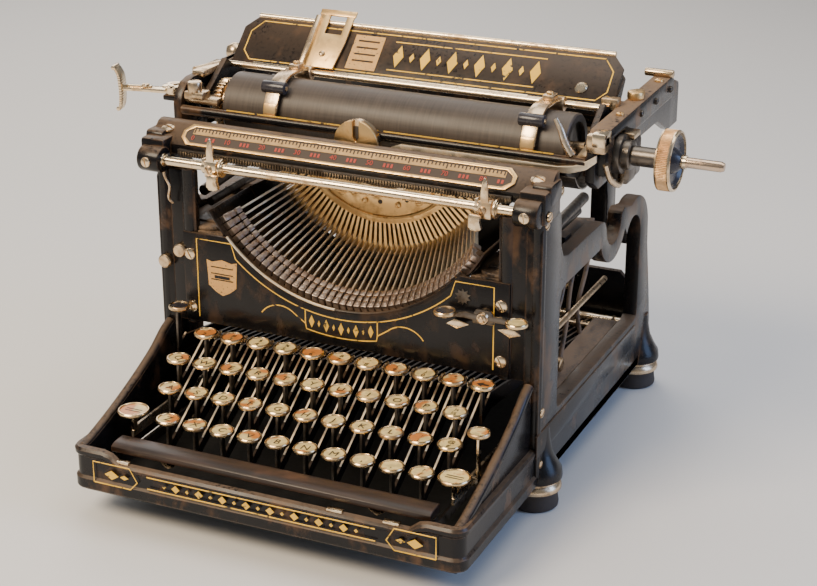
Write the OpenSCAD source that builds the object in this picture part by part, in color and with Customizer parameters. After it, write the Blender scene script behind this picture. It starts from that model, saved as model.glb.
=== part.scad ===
// Desk typewriter with a sliding carriage, four key rows and a front type basket.
// Millimetres. X runs along the carriage, +Y to the rear, +Z up.
// The origin is the centre of the four feet, on the surface that they stand on.

/* [Frame] */
// Half of the base's width, over the side castings
frame_half_w = 131; // [128:1:160]
// Y of the front rail's outer face, ahead of the feet's centre
front_y = -232; // [-280:1:-228]
// Y of the rear apron's outer face
rear_y = 116; // [112:1:150]
// Height of the side posts' top above the desk
post_top_z = 212; // [200:1:256]
// Thickness of each side casting
side_t = 10; // [7:0.5:10]
// Thickness of the skirt's wall
skirt_t = 5; // [3.5:0.5:6]
// Height of the skirt
skirt_h = 22; // [18:1:26]

/* [Feet] */
// Half of the spacing between left and right feet
foot_half_x = 124; // [104:1:130]
// Half of the spacing between front and rear feet
foot_half_y = 100; // [84:1:101]
// Radius of a rubber foot
foot_r = 15; // [12:0.5:18]
// Height of a rubber foot
foot_h = 12; // [8:0.5:15]
// Radius of the screw hole in each foot
foot_hole_r = 3; // [2:0.25:5]

/* [Keyboard] */
// Distance between neighbouring keys of one row
key_pitch = 19.05; // [17.2:0.05:19.4]
// Distance between rows, along Y
row_pitch = 19.1; // [18:0.1:20.5]
// Rise from one row to the next
row_rise = 11.6; // [9:0.1:13]
// Radius of a key top
key_r = 7.8; // [6:0.1:8.2]
// Height of a key top
key_h = 3.2; // [2:0.1:4]
// Thickness of a key lever
lever_t = 1.6; // [1:0.1:2]
// Height of a key lever
lever_h = 7; // [5:0.5:8]
// Radius of the rod that the key levers turn on
fulcrum_r = 2; // [1.5:0.1:2.5]

/* [Type basket] */
// Distance of the type bars' pivots from the printing axis
pivot_r = 69; // [60:1:72]
// Distance of the resting type from the printing axis
slug_r = 104; // [90:1:108]
// Half of the angle over which the type bars fan out
fan_half = 56; // [44:1:58]
// Thickness of a type bar
typebar_t = 1.2; // [0.8:0.1:1.5]

/* [Carriage] */
// Distance between the end plates' inner faces
carriage_gap = 273; // [268:1:330]
// Thickness of an end plate
end_plate_t = 6; // [4:0.5:8]
// Radius of the platen's rubber
platen_r = 21; // [17.5:0.25:21.5]
// Length of the platen's rubber
platen_len = 232; // [193:1:234]
// Radius of the platen's shaft
shaft_r = 4; // [3:0.1:5]
// Lift of the platen when a shift key is down
shift_lift = 6; // [3:0.5:7]
// Height of the paper table, along its slope
table_h = 40; // [30:1:44]

/* [Hidden] */
$fn = 64;
fit = 0.08;
clear = 0.3;

// Shift of the carriage's middle from the frame's middle, where it rests
carriage_x = 8.5;
inner_x = frame_half_w - side_t;
skirt_z = 20;
skirt_top = skirt_z + skirt_h;
corner_r = 16;

// Side castings: the post at the front, the beam, the rear post and the rail between them
post_y0 = -117.5;
post_y1 = -86;
rail_top = 60;
beam_z = post_top_z - 72;
beam_h = 18;
dip_y = 17;
dip_r = 15;
dip_z = beam_z + 10;
arch_y = 60;
arch_r = 16;
rear_post_y = 76;
cross_z = beam_z - 28;

// Keyboard
key_names = [for (row = [["2", "3", "4", "5", "6", "7", "8", "9", "0", "minus"],
        ["q", "w", "e", "r", "t", "y", "u", "i", "o", "p", "half"],
        ["a", "s", "d", "f", "g", "h", "j", "k", "l", "semicolon", "cent"],
        ["z", "x", "c", "v", "b", "n", "m", "comma", "period", "slash"]])
    for (face = row) str("key_", face)];
// Sideways offset of each row from the Q row, in pitches, lowest row first
stagger = [0.75, 0.25, 0, 0.5];
keyboard_mid = 5.175;
row_y = front_y + 40.2;
row_z = rail_top - 2.2;
fulcrum_y = 85;
fulcrum_z = 45;
hub_r = fulcrum_r + 2.8;
stem_w = 5;
// Drop of a lever's top edge below the key tops over it, and Y of its highest point
lever_drop = 18;
knee_y = post_y0 - 5;
shift_shaft_y = fulcrum_y + 13;
shift_shaft_r = 3.5;
shift_key_r = 10;
lock_key_r = 7;
bar_arm_t = 2.4;
row_end_x = (9.75 - keyboard_mid) * key_pitch;
shift_x = row_end_x + key_r + 3.5 + shift_key_r;
arm_x = shift_x - 3.8;
lock_x = shift_x + 4.2;
release_x = -lock_x;
bar_half = 106.5;
bar_d = 14;
bar_h = 10;
bar_z = 44;

// Printing axis, through the printing point along Y
platen_y = -60;
platen_z = post_top_z + 10;
print_y = platen_y - platen_r - 1;
print_z = platen_z - 2;
slug_y = post_y0 + 5.5;
pivot_y = (pow(print_y, 2) + pow(pivot_r, 2) - pow(slug_y, 2) - pow(slug_r - pivot_r, 2))
    / (2 * (print_y - slug_y));
bar_count = 42;
segment_in = pivot_r - 9;
segment_out = pivot_r + 17;
segment_y = pivot_y - 24;
bracket_z = print_z - 72;

// Front plate and top bar
plate_y = post_y0 - 2.5;
plate_half = inner_x - 9;
plate_z0 = 92;
plate_z1 = bracket_z + 5;
rocker_x = plate_half - 14.5;
rocker_z = plate_z1 - 22;
bar_front_y = post_y0 - 1.5;
bar_back_y = post_y0 + 17.5;
bar_low_z = post_top_z - 9;
bar_top_z = post_top_z + 9;
bar_end_x = frame_half_w + 5;
margin_y = bar_front_y - 9;
margin_z = post_top_z - 10.5;
margin_r = 3;
stop_w = 14;
left_stop_x = -82;
right_stop_x = 100;
guide_y = bar_back_y + 3;
guide_r = 15;
spool_y = post_y1 - 9;

// Carriage
end_in_right = carriage_x + carriage_gap / 2;
end_in_left = carriage_x - carriage_gap / 2;
plate_low = platen_z - 19;
plate_top = platen_z + 18;
carriage_front = platen_y - 28.5;
carriage_rear = 80;
front_rail_t = 2;
rail_y = 70;
rail_d = 8;
rail_z = plate_low - 17;
lug_t = 4;
lift_in_right = end_in_right - 4 - lug_t;
lift_in_left = end_in_left + 4 + lug_t;
platen_x = carriage_x + 5 - platen_len / 2;
core_r = platen_r - 5;
table_y = platen_y + 30;
table_z = platen_z + 16;
table_tilt = 43;
table_t = 1.6;
bail_y = table_y - 6;
bail_z = table_z + 3;
bail_r = 2;
finger_w = 10;
finger_in = platen_r + 2;
finger_t = 2.2;
finger_x = [-71, 102];
knob_x = end_in_right + 38;
knob_w = 10;
knob_r = platen_r - 2.5;
lever_pivot = [end_in_left - end_plate_t - 7, platen_y - 14];

function key_row(i) = i < 10 ? 3 : i < 21 ? 2 : i < 32 ? 1 : 0;
function key_col(i) = i < 10 ? i : i < 21 ? i - 10 : i < 32 ? i - 21 : i - 32;
function key_x(i) = (key_col(i) + stagger[key_row(i)] - keyboard_mid) * key_pitch;
function key_y(i) = row_y + key_row(i) * row_pitch;
function key_z(i) = row_z + key_row(i) * row_rise;

// ---- Shared shapes ----

// A plate that stands in the YZ plane: the outline's x is Y and its y is Z
module yz_plate(x, t) {
    translate([x, 0, 0]) rotate([90, 0, 90]) linear_extrude(t) children();
}

// A plate that stands in the XZ plane: the outline's y is Z
module xz_plate(y, t) {
    translate([0, y + t, 0]) rotate([90, 0, 0]) linear_extrude(t) children();
}

module x_rod(x0, x1, y, z, r) {
    translate([x0, y, z]) rotate([0, 90, 0]) cylinder(h = x1 - x0, r = r);
}

module y_rod(x, y0, y1, z, r) {
    translate([x, y1, z]) rotate([90, 0, 0]) cylinder(h = y1 - y0, r = r);
}

module block(x0, x1, y0, y1, z0, z1) {
    translate([x0, y0, z0]) cube([x1 - x0, y1 - y0, z1 - z0]);
}

module both_sides() {
    children();
    mirror([1, 0, 0]) children();
}

// A flat ring sector about an axis along X, from angle a0 to a1, where 0 points to the front
module x_arc(x, t, y, z, r0, r1, a0, a1) {
    translate([x, y, z]) rotate([0, 90, 0]) rotate([0, 0, -90 - a1])
        rotate_extrude(angle = a1 - a0) translate([r0, 0]) square([r1 - r0, t]);
}

// A rounded prism of the base's outline, set in by d from its outer face
module base_prism(d, z0, z1) {
    r = corner_r - d;
    x = frame_half_w - d;
    y0 = front_y + d;
    y1 = rear_y - d;
    block(-x + r, x - r, y0, y1, z0, z1);
    block(-x, x, y0 + r, y1 - r, z0, z1);
    for (cx = [-x + r, x - r], cy = [y0 + r, y1 - r])
        translate([cx, cy, z0]) cylinder(h = z1 - z0, r = r);
}

// ---- Frame ----

module skirt() {
    difference() {
        base_prism(0, skirt_z, skirt_top);
        base_prism(skirt_t, skirt_z - 1, skirt_top + 1);
    }
    intersection() {
        difference() {
            base_prism(0, skirt_top - 1, skirt_top + 4);
            base_prism(skirt_t + 1, skirt_top - 2, skirt_top + 5);
        }
        block(-frame_half_w, frame_half_w, front_y, front_y + 40, skirt_top - 1, skirt_top + 4);
    }
}

module wing() {
    yz_plate(inner_x, 7) polygon([[front_y + skirt_t, skirt_z + 6], [front_y + skirt_t, skirt_top + 4],
            [front_y + 18, skirt_top + 8], [post_y0, rail_top + 30], [post_y0, skirt_z + 6]]);
}

module side_casting() {
    block(inner_x, frame_half_w, post_y0, post_y1, skirt_z, post_top_z - 20);
    block(inner_x, frame_half_w, bar_back_y, carriage_front - 1, post_top_z - 21, post_top_z);
    block(inner_x - 18, inner_x + 1, post_y0, post_y0 + 5.5, plate_z0 - 2, post_top_z - 20);
    block(inner_x, frame_half_w, post_y1 - 1, rear_post_y + 1, skirt_z, rail_top);
    block(inner_x, frame_half_w, post_y1 - 1, dip_y - dip_r + 1, beam_z, beam_z + beam_h);
    difference() {
        x_rod(inner_x, frame_half_w, dip_y, dip_z, dip_r + 12);
        x_rod(inner_x - 1, frame_half_w + 1, dip_y, dip_z, dip_r);
        block(inner_x - 1, frame_half_w + 1, dip_y - 60, dip_y + 60, dip_z, dip_z + 60);
    }
    difference() {
        x_rod(inner_x, frame_half_w, arch_y + 5, beam_z - 16, arch_r + 12);
        x_rod(inner_x - 1, frame_half_w + 1, arch_y, beam_z - 16, arch_r);
        block(inner_x - 1, frame_half_w + 1, arch_y - 60, arch_y + 60, beam_z - 90, beam_z - 16);
    }
    yz_plate(inner_x, side_t) polygon([[rear_post_y, skirt_z], [rear_post_y, beam_z - 14],
            [arch_y + 33, beam_z - 16], [rear_y - 8, rail_top - 12], [rear_y - 8, skirt_z]]);
    for (y = [-foot_half_y, foot_half_y]) {
        translate([foot_half_x, y, skirt_z]) cylinder(h = 9, r = foot_r + 2);
        intersection() {
            translate([foot_half_x, y, skirt_z + 8]) cylinder(h = 24, r1 = foot_r + 2, r2 = 8);
            block(inner_x + 1, frame_half_w + foot_r, y - 30, y + 30, skirt_z, rail_top);
        }
    }
    difference() {
        block(inner_x - 7, inner_x + 1, shift_shaft_y - 7, shift_shaft_y + 7, skirt_z + 16, fulcrum_z + 7);
        x_rod(inner_x - 8, inner_x + 2, shift_shaft_y, fulcrum_z, shift_shaft_r + fit);
    }
    block(inner_x - 25, inner_x - 13, rail_y, rail_y + 20, cross_z, rail_z);
}

module main_frame() color("#1b1a1c") {
    skirt();
    both_sides() {
        wing();
        side_casting();
    }
    block(-inner_x - 1, inner_x + 1, rear_post_y + 2, rear_post_y + 14, cross_z, cross_z + 10);
    block(-inner_x, inner_x, rear_y - 10, rear_y - skirt_t, skirt_z + 1, rail_top + 20);
}

module feet() color("#3a302a") {
    for (x = [-foot_half_x, foot_half_x], y = [-foot_half_y, foot_half_y]) translate([x, y, 0])
        difference() {
            cylinder(h = foot_h, r1 = foot_r, r2 = foot_r - 1);
            translate([0, 0, -1]) cylinder(h = foot_h - 3, r = foot_hole_r);
        }
}

module front_plate() color("#222022") {
    difference() {
        xz_plate(plate_y, 2.5) translate([-plate_half, plate_z0]) square([2 * plate_half, plate_z1 - plate_z0]);
        y_rod(0, plate_y - 1, plate_y + 4, print_z, slug_r);
    }
    y_rod(rocker_x, plate_y - 10, plate_y + 1, rocker_z, 1.5);
    both_sides() block(inner_x - 33, inner_x, post_y0 + 6.5, platen_y, bracket_z, bracket_z + 2);
}

module top_bar() color("#1b1a1c") {
    yz_plate(-bar_end_x, 2 * bar_end_x) polygon([[bar_front_y, bar_low_z], [bar_front_y, bar_low_z + 7],
            [bar_front_y + 12, bar_top_z], [bar_back_y, bar_top_z], [bar_back_y, bar_low_z]]);
    both_sides() block(inner_x - 3, bar_end_x, margin_y - 6, bar_back_y, post_top_z - 20, bar_low_z + 4);
}

// ---- Nickel-plated fittings on the frame ----

module type_guide() {
    difference() {
        y_rod(0, guide_y, guide_y + 8, print_z - 2, guide_r);
        block(-2, 2, guide_y - 1, guide_y + 9, print_z - 4, print_z + 20);
    }
    block(-9, 9, bar_back_y, guide_y + 4, bar_low_z + 1, bar_low_z + 9);
}

module ribbon_spool() {
    for (x = [inner_x - 24, inner_x - 9]) x_rod(x, x + 2, spool_y, beam_z - 10, 16);
    x_rod(inner_x - 24, inner_x, spool_y, beam_z - 10, 5);
}

module fittings() color("#b9b2a4") {
    for (x = [-foot_half_x, foot_half_x], y = [-foot_half_y, foot_half_y])
        translate([x, y, foot_h]) cylinder(h = skirt_z - foot_h, r = foot_r + 1.5);
    x_rod(-inner_x + 3, inner_x - 3, margin_y, margin_z, margin_r);
    block(-inner_x + 9, inner_x - 9, bar_front_y - 3, bar_front_y, bar_low_z + 1, bar_low_z + 4);
    x_rod(-inner_x, inner_x, fulcrum_y, fulcrum_z, fulcrum_r);
    x_rod(-inner_x, inner_x, -20, beam_z + 9, 3);
    x_rod(-inner_x, inner_x, fulcrum_y - 30, rail_top - 3, 2);
    type_guide();
    both_sides() ribbon_spool();
    block(-inner_x - 5, inner_x + 5, rail_y, rail_y + rail_d, rail_z, rail_z + 9);
    y_rod(-inner_x + 41, rear_post_y + 14, rear_post_y + 28, cross_z + 18, 22);
    y_rod(0, rear_post_y + 14, rear_post_y + 16, cross_z + 16, 15);
    y_rod(60, rear_y - 24, rear_y - 10, rail_top + 14, 18);
    both_sides() for (z = [plate_z0 + 10, plate_z1 - 15])
        y_rod(plate_half - 5, plate_y - 2, plate_y, z, 3.5);
}

// ---- Type basket ----

module typebar() {
    slope = atan2(slug_r - pivot_r, pivot_y - slug_y);
    length = norm([slug_r - pivot_r, pivot_y - slug_y]);
    translate([-typebar_t / 2, pivot_y, -pivot_r]) rotate([180 + slope, 0, 0]) {
        yz_plate(0, typebar_t) polygon([[-3, -2.5], [-3, 2.5], [length - 6, 1.6], [length - 6, -1.6]]);
        translate([-1.3, length - 7, -2.4]) cube([typebar_t + 2.6, 7, 5]);
    }
}

module type_basket() color("#b4a98f") translate([0, 0, print_z]) {
    half = fan_half + 5;
    difference() {
        rotate([90, 0, 0]) rotate([0, 0, -90 - half]) union() {
            translate([0, 0, -segment_y - 28]) rotate_extrude(angle = 2 * half)
                translate([segment_in, 0]) square([segment_out - segment_in, 28]);
            rotate([0, 0, half - 44]) translate([0, 0, -segment_y - 10]) rotate_extrude(angle = 88)
                translate([segment_in - 22, 0]) square([24, 8]);
        }
        for (i = [0:bar_count - 1]) rotate([0, -fan_half + 2 * fan_half * i / (bar_count - 1), 0])
            translate([-typebar_t / 2 - 0.25, segment_y - 1, -segment_out - 2])
                cube([typebar_t + 0.5, 30, segment_out - segment_in - 2]);
    }
    rotate([90, 0, 0]) rotate([0, 0, -90 - half + 1]) translate([0, 0, -pivot_y - 0.8])
        rotate_extrude(angle = 2 * half - 2) translate([pivot_r - 0.8, 0]) square(1.6);
    for (i = [0:bar_count - 1])
        rotate([0, -fan_half + 2 * fan_half * i / (bar_count - 1), 0]) typebar();
    both_sides() block(segment_out * sin(38), inner_x, segment_y + 12, segment_y + 24,
        bracket_z + 3 - print_z, bracket_z + 12 - print_z);
}

// ---- Margin stops ----

module margin_stop(x, finger) {
    difference() {
        block(x - stop_w / 2, x + stop_w / 2, margin_y - 5.5, margin_y + 5, margin_z - 6.5, margin_z + 6);
        x_rod(x - stop_w, x + stop_w, margin_y, margin_z, margin_r + fit);
    }
    block(x - 1.5, x + 1.5, margin_y - 5.5, margin_y - 3.5, margin_z + 5, margin_z + 20);
    block(x + finger - 2, x + finger + 2, margin_y - 12, margin_y - 5, margin_z - 12, margin_z - 2);
}

module margin_stop_left() color("#c9c0ad") margin_stop(left_stop_x, 4);

module margin_stop_right() color("#c9c0ad") margin_stop(right_stop_x, -4);

// ---- Carriage ----

module end_plate(x) {
    difference() {
        yz_plate(x, end_plate_t) polygon([[carriage_front, plate_low + 6], [carriage_front, plate_top - 12],
                [carriage_front + 10, plate_top], [48, plate_top], [carriage_rear, plate_top - 10],
                [carriage_rear, plate_low], [rail_y - 10, plate_low], [rail_y - 34, plate_low + 12],
                [platen_y + 30, plate_low + 12], [platen_y + 20, plate_low + 2], [carriage_front + 8, plate_low + 2]]);
        for (z = [platen_z, platen_z + shift_lift]) x_rod(x - 1, x + end_plate_t + 1, platen_y, z, shaft_r + fit);
        block(x - 1, x + end_plate_t + 1, platen_y - shaft_r - fit, platen_y + shaft_r + fit,
            platen_z, platen_z + shift_lift);
    }
}

module carriage_frame() color("#26241f") {
    end_plate(end_in_right);
    end_plate(end_in_left - end_plate_t);
    block(end_in_left - 1, end_in_right + 1, rail_y - 2, carriage_rear, plate_low, plate_low + 9);
    block(end_in_left + 20, end_in_right - 20, carriage_rear - 1, carriage_rear + 3, rail_z + 2, plate_low + 9);
    block(end_in_left - 1, end_in_right + 1, carriage_front, carriage_front + front_rail_t,
        platen_z - 3, platen_z + 4);
    block(18, end_in_right + 1, carriage_front, carriage_front + 1.5, platen_z - 9.5, platen_z - 4.5);
    block(end_in_right, end_in_right + 14, carriage_front - 3, carriage_front + 12, plate_top - 10, plate_top + 2);
    block(lever_pivot.x - 6, end_in_left - end_plate_t + 1, lever_pivot.y - 6, lever_pivot.y + 6,
        platen_z + 2, platen_z + 6);
    translate([lever_pivot.x, lever_pivot.y, platen_z + 5]) cylinder(h = 8, r = 2.5);
}

module lift_plate(x) {
    difference() {
        yz_plate(x, lug_t) polygon([[platen_y - 9, platen_z - 14], [platen_y - 9, platen_z + 6],
                [bail_y - 5, bail_z + 4], [table_y - 2, table_z + 1], [table_y + 22, table_z + 18],
                [table_y + 26, table_z + 14], [table_y + 6, table_z - 14], [platen_y + 14, platen_z - 14]]);
        x_rod(x - 1, x + lug_t + 1, platen_y, platen_z, shaft_r + fit);
        x_rod(x - 1, x + lug_t + 1, bail_y, bail_z, bail_r + fit);
    }
}

module paper_table() color("#2a2724") {
    w = lift_in_right - lift_in_left + 2 * lug_t;
    lift_plate(lift_in_right);
    lift_plate(lift_in_left - lug_t);
    translate([lift_in_left - lug_t, table_y, table_z]) rotate([table_tilt, 0, 0]) {
        cube([w, table_h, table_t]);
        translate([0, table_h, 0.5]) rotate([0, 90, 0]) cylinder(h = w, r = 2);
        translate([54, 4, 0.5]) cube([22, table_h + 4, 2.2]);
    }
    x_arc(lift_in_left - 1, lift_in_right - lift_in_left + 2, platen_y, platen_z,
        platen_r + 2, platen_r + 3.2, -150, -40);
}

module platen() color("#4a4138") {
    difference() {
        x_rod(platen_x, platen_x + platen_len, platen_y, platen_z, platen_r);
        x_rod(platen_x - 1, platen_x + platen_len + 1, platen_y, platen_z, core_r);
    }
    x_rod(platen_x, platen_x + platen_len, platen_y, platen_z, core_r - fit);
    x_rod(end_in_left - end_plate_t - 2, knob_x + 1, platen_y, platen_z, shaft_r);
    x_rod(lift_in_left + 5, lift_in_left + 11, platen_y, platen_z, platen_r - 5);
    x_rod(end_in_right + end_plate_t + 6, end_in_right + end_plate_t + 14, platen_y, platen_z, 9);
    x_rod(knob_x, knob_x + knob_w, platen_y, platen_z, knob_r);
    x_rod(knob_x, knob_x + knob_w + 28, platen_y, platen_z, shaft_r - 0.8);
}

module return_lever() color("#c9c0ad") translate([lever_pivot.x, lever_pivot.y, platen_z + 6 + clear]) {
    difference() {
        cylinder(h = 6, r = 6);
        translate([0, 0, -1]) cylinder(h = 8, r = 2.5 + fit);
    }
    rotate([0, 0, 12]) {
        difference() {
            translate([-37, -4, 0]) cube([37, 8, 3]);
            translate([0, 0, -1]) cylinder(h = 8, r = 4);
        }
        translate([-38, -5, -12]) cube([2.5, 10, 28]);
    }
}

module paper_bail() color("#c9c0ad") {
    x_rod(lift_in_left - lug_t + 0.5, lift_in_right + lug_t - 0.5, bail_y, bail_z, bail_r);
    for (x = finger_x) {
        x_arc(x, finger_w, platen_y, platen_z, finger_in, finger_in + finger_t, 12, 96);
        block(x, x + finger_w, platen_y + 1, bail_y, platen_z + finger_in - 0.4, platen_z + finger_in + 1.4);
        x_rod(x, x + finger_w, bail_y, bail_z, bail_r + 2.8);
        x_rod(x - 3, x + finger_w + 3, platen_y - (platen_r + 4.4) * cos(49),
            platen_z + (platen_r + 4.4) * sin(49), 4);
    }
}

// ---- Keys ----

// A flat lever from a key at y to the fulcrum, with its stem up to z. It runs under the rows in
// front of its knee at their slope, far enough down that a pressed key top stays clear of it.
module lever(x, y, z) {
    slope = row_rise / row_pitch;
    front = y - stem_w / 2;
    front_z = row_z - lever_drop + slope * (front - row_y);
    knee_z = row_z - lever_drop + slope * (knee_y - row_y);
    difference() {
        union() {
            yz_plate(x - lever_t / 2, lever_t) polygon([[front, front_z - lever_h], [front, front_z],
                    [knee_y, knee_z], [fulcrum_y, fulcrum_z + lever_h / 2],
                    [fulcrum_y, fulcrum_z - lever_h / 2], [knee_y, knee_z - lever_h]]);
            block(x - lever_t / 2, x + lever_t / 2, front, front + stem_w, front_z - 1, z);
            x_rod(x - lever_t / 2, x + lever_t / 2, fulcrum_y, fulcrum_z, hub_r);
        }
        x_rod(x - lever_t, x + lever_t, fulcrum_y, fulcrum_z, fulcrum_r + fit);
    }
}

module key_cap(x, y, z, r) {
    translate([x, y, z - key_h]) cylinder(h = key_h, r = r);
}

module key(x, y, z) color("#d8cdb0") {
    lever(x, y, z - key_h / 2);
    key_cap(x, y, z, key_r);
}

module backspace_key() {
    i = 10;
    key((i + stagger[3] - keyboard_mid) * key_pitch, key_y(0), key_z(0));
}

module margin_release() color("#8f8a80") {
    y = plate_y - 9;
    z = plate_z0 + 13.5;
    lever(release_x, y, z - key_h / 2);
    key_cap(release_x + 1.2, y, z, lock_key_r);
}

module shift_keys() color("#c9c0ad") {
    y = row_y - 1.2;
    z = row_z + 2;
    x_rod(-inner_x + clear, inner_x - clear, shift_shaft_y, fulcrum_z, shift_shaft_r);
    for (x = [-shift_x, shift_x]) {
        difference() {
            block(x - lever_t / 2, x + lever_t / 2, y - stem_w / 2, shift_shaft_y,
                fulcrum_z - lever_h / 2, fulcrum_z + lever_h / 2);
            x_rod(x - lever_t, x + lever_t, fulcrum_y, fulcrum_z, fulcrum_r + 1);
        }
        block(x - lever_t / 2, x + lever_t / 2, y - stem_w / 2, y + stem_w / 2, fulcrum_z, z - 1);
        key_cap(x, y, z, shift_key_r);
    }
    lock_y = y + 26;
    lock_z = z + 18;
    block(shift_x, lock_x + lever_t / 2, lock_y - 2.5, lock_y + 2.5, fulcrum_z - 3, fulcrum_z + 3);
    block(lock_x - lever_t / 2, lock_x + lever_t / 2, lock_y - 2.5, lock_y + 2.5, fulcrum_z - 3, lock_z - 1);
    key_cap(lock_x, lock_y, lock_z, lock_key_r);
}

module space_bar() color("#4a3326") {
    y0 = front_y + 9;
    block(-bar_half, bar_half, y0, y0 + bar_d, bar_z, bar_z + bar_h);
    for (x = [-arm_x, arm_x]) difference() {
        union() {
            yz_plate(x - bar_arm_t / 2, bar_arm_t) polygon([[y0 + 3, 31], [y0 + 3, bar_z + 1], [y0 + 10, bar_z + 1],
                    [y0 + 14, 38], [fulcrum_y - 14, 38], [fulcrum_y - 3, fulcrum_z + 3],
                    [fulcrum_y + 3, fulcrum_z - 3], [fulcrum_y - 8, 31]]);
            x_rod(x - bar_arm_t / 2, x + bar_arm_t / 2, fulcrum_y, fulcrum_z, hub_r);
        }
        x_rod(x - bar_arm_t, x + bar_arm_t, fulcrum_y, fulcrum_z, fulcrum_r + fit);
    }
}

module tab_rocker() color("#c9c0ad") {
    y = plate_y - 6;
    difference() {
        union() {
            y_rod(rocker_x, y - 2, y + 5, rocker_z, 4);
            block(rocker_x - 24, rocker_x + 23, y - 1, y + 1, rocker_z - 2.5, rocker_z + 1);
        }
        y_rod(rocker_x, y - 4, y + 7, rocker_z, 1.5 + fit);
    }
    for (dx = [-23, 23]) {
        block(rocker_x + dx - 1, rocker_x + dx + 1, y - 5, y + 1, rocker_z - 2.5, rocker_z + 1);
        key_cap(rocker_x + dx, y - 4, rocker_z + 3, lock_key_r);
    }
}

main_frame();
front_plate();
feet();
fittings();
type_basket();
top_bar();
margin_stop_left();
margin_stop_right();
carriage_frame();
paper_table();
platen();
return_lever();
paper_bail();
space_bar();
shift_keys();
backspace_key();
tab_rocker();
margin_release();
for (i = [0:len(key_names) - 1])
    key(key_x(i), key_y(i), key_z(i));
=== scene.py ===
import math

import bmesh
import bpy
from mathutils import Matrix, Vector


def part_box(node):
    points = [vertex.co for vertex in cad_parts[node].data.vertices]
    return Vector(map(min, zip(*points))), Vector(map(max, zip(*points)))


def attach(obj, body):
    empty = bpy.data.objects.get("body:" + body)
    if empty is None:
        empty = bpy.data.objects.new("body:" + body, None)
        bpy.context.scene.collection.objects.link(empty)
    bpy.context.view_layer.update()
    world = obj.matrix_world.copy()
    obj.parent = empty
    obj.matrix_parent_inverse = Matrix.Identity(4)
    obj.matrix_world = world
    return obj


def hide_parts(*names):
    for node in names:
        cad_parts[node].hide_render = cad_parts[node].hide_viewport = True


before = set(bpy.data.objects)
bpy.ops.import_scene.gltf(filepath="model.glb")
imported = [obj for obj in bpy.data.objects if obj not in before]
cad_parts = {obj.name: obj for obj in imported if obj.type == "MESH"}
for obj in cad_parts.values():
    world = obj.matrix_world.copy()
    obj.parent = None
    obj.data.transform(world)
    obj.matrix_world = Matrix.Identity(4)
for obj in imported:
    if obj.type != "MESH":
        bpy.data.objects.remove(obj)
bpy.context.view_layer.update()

bl_info = {
    "name": "Desk typewriter",
    "version": (1, 0, 0),
    "blender": (4, 5, 0),
    "location": "View3D > Sidebar > Typewriter",
    "description": "Builds the detailed pieces of a front-strike desk typewriter round its frame",
    "category": "Object",
}

MM = 0.001
SHARP = math.radians(28)

# Places of the frame's main parts, in millimetres
INNER_X = 121
OUTER_X = 131
FRONT_Y = -232
REAR_Y = 116
PLATE_Y = -120
PRINT_Z = 220
PLATEN_Y = -60
PLATEN_Z = 222
FULCRUM = (85, 45)
MARGIN_ROD = (-128, 201.5)
BAIL_ROD = (-36, 241)
SPOOL = (-95, 130)
ROCKER_X = 97.5
LEVER_PIVOT = (-141, -74)
END_LEFT = -128
END_RIGHT = 145

# The fan of type bars: half its angle in degrees, its bars, and the half angle of the parts round it
FAN = 56
BARS = 42
HALF = FAN + 5

# Rise of the key rows for each millimetre towards the rear
KEY_SLOPE = 11.6 / 19.1


def span(node):
    """Lowest and highest corner of a frame node, in millimetres."""
    low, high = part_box(node)
    return low / MM, high / MM


# ---- Shapes: each function returns a new bmesh, in millimetres ----

def eased(shape, width, segments=2):
    """Rounds the sharp edges of a shape."""
    edges = [e for e in shape.edges if len(e.link_faces) == 2 and e.calc_face_angle() > SHARP]
    bmesh.ops.bevel(shape, geom=edges, offset=width, offset_type="OFFSET", segments=segments,
                    profile=0.5, affect="EDGES", clamp_overlap=True, material=-1)
    return shape


def new_points(made):
    """The points that an extrusion made."""
    return [item for item in made["geom"] if isinstance(item, bmesh.types.BMVert)]


def pull(shape, edges):
    """Extrudes a ring of edges, and returns the new ring's points and edges."""
    made = bmesh.ops.extrude_edge_only(shape, edges=edges)
    points = new_points(made)
    fresh = set(points)
    return points, [e for e in made["geom"] if isinstance(e, bmesh.types.BMEdge) and set(e.verts) <= fresh]


def cut(shape, point, way, **cleared):
    """Cuts a shape by a plane."""
    bmesh.ops.bisect_plane(shape, geom=shape.verts[:] + shape.edges[:] + shape.faces[:],
                           plane_co=point, plane_no=way, **cleared)


def close(shape):
    """Fills the open sides of a shape."""
    bmesh.ops.holes_fill(shape, edges=[e for e in shape.edges if e.is_boundary], sides=0)


def cube(corner, opposite, ease=0.0):
    """A block between two opposite corners."""
    low = Vector([min(pair) for pair in zip(corner, opposite)])
    high = Vector([max(pair) for pair in zip(corner, opposite)])
    shape = bmesh.new()
    place = Matrix.Translation((low + high) / 2) @ Matrix.Diagonal((*(high - low), 1))
    bmesh.ops.create_cube(shape, size=1, matrix=place)
    return eased(shape, ease) if ease else shape


def aim(start, way):
    """Puts a shape's foot at start and turns its Z along way."""
    turn = Vector((0, 0, 1)).rotation_difference(Vector(way)).to_matrix().to_4x4()
    return Matrix.Translation(start) @ turn


def rod(start, end, radius, sides=32, ease=0.0):
    """A straight round bar."""
    start, end = Vector(start), Vector(end)
    length = (end - start).length
    shape = bmesh.new()
    bmesh.ops.create_cone(shape, cap_ends=True, segments=sides, radius1=radius, radius2=radius,
                          depth=length, matrix=aim(start, end - start)
                          @ Matrix.Translation((0, 0, length / 2)))
    return eased(shape, ease) if ease else shape


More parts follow.
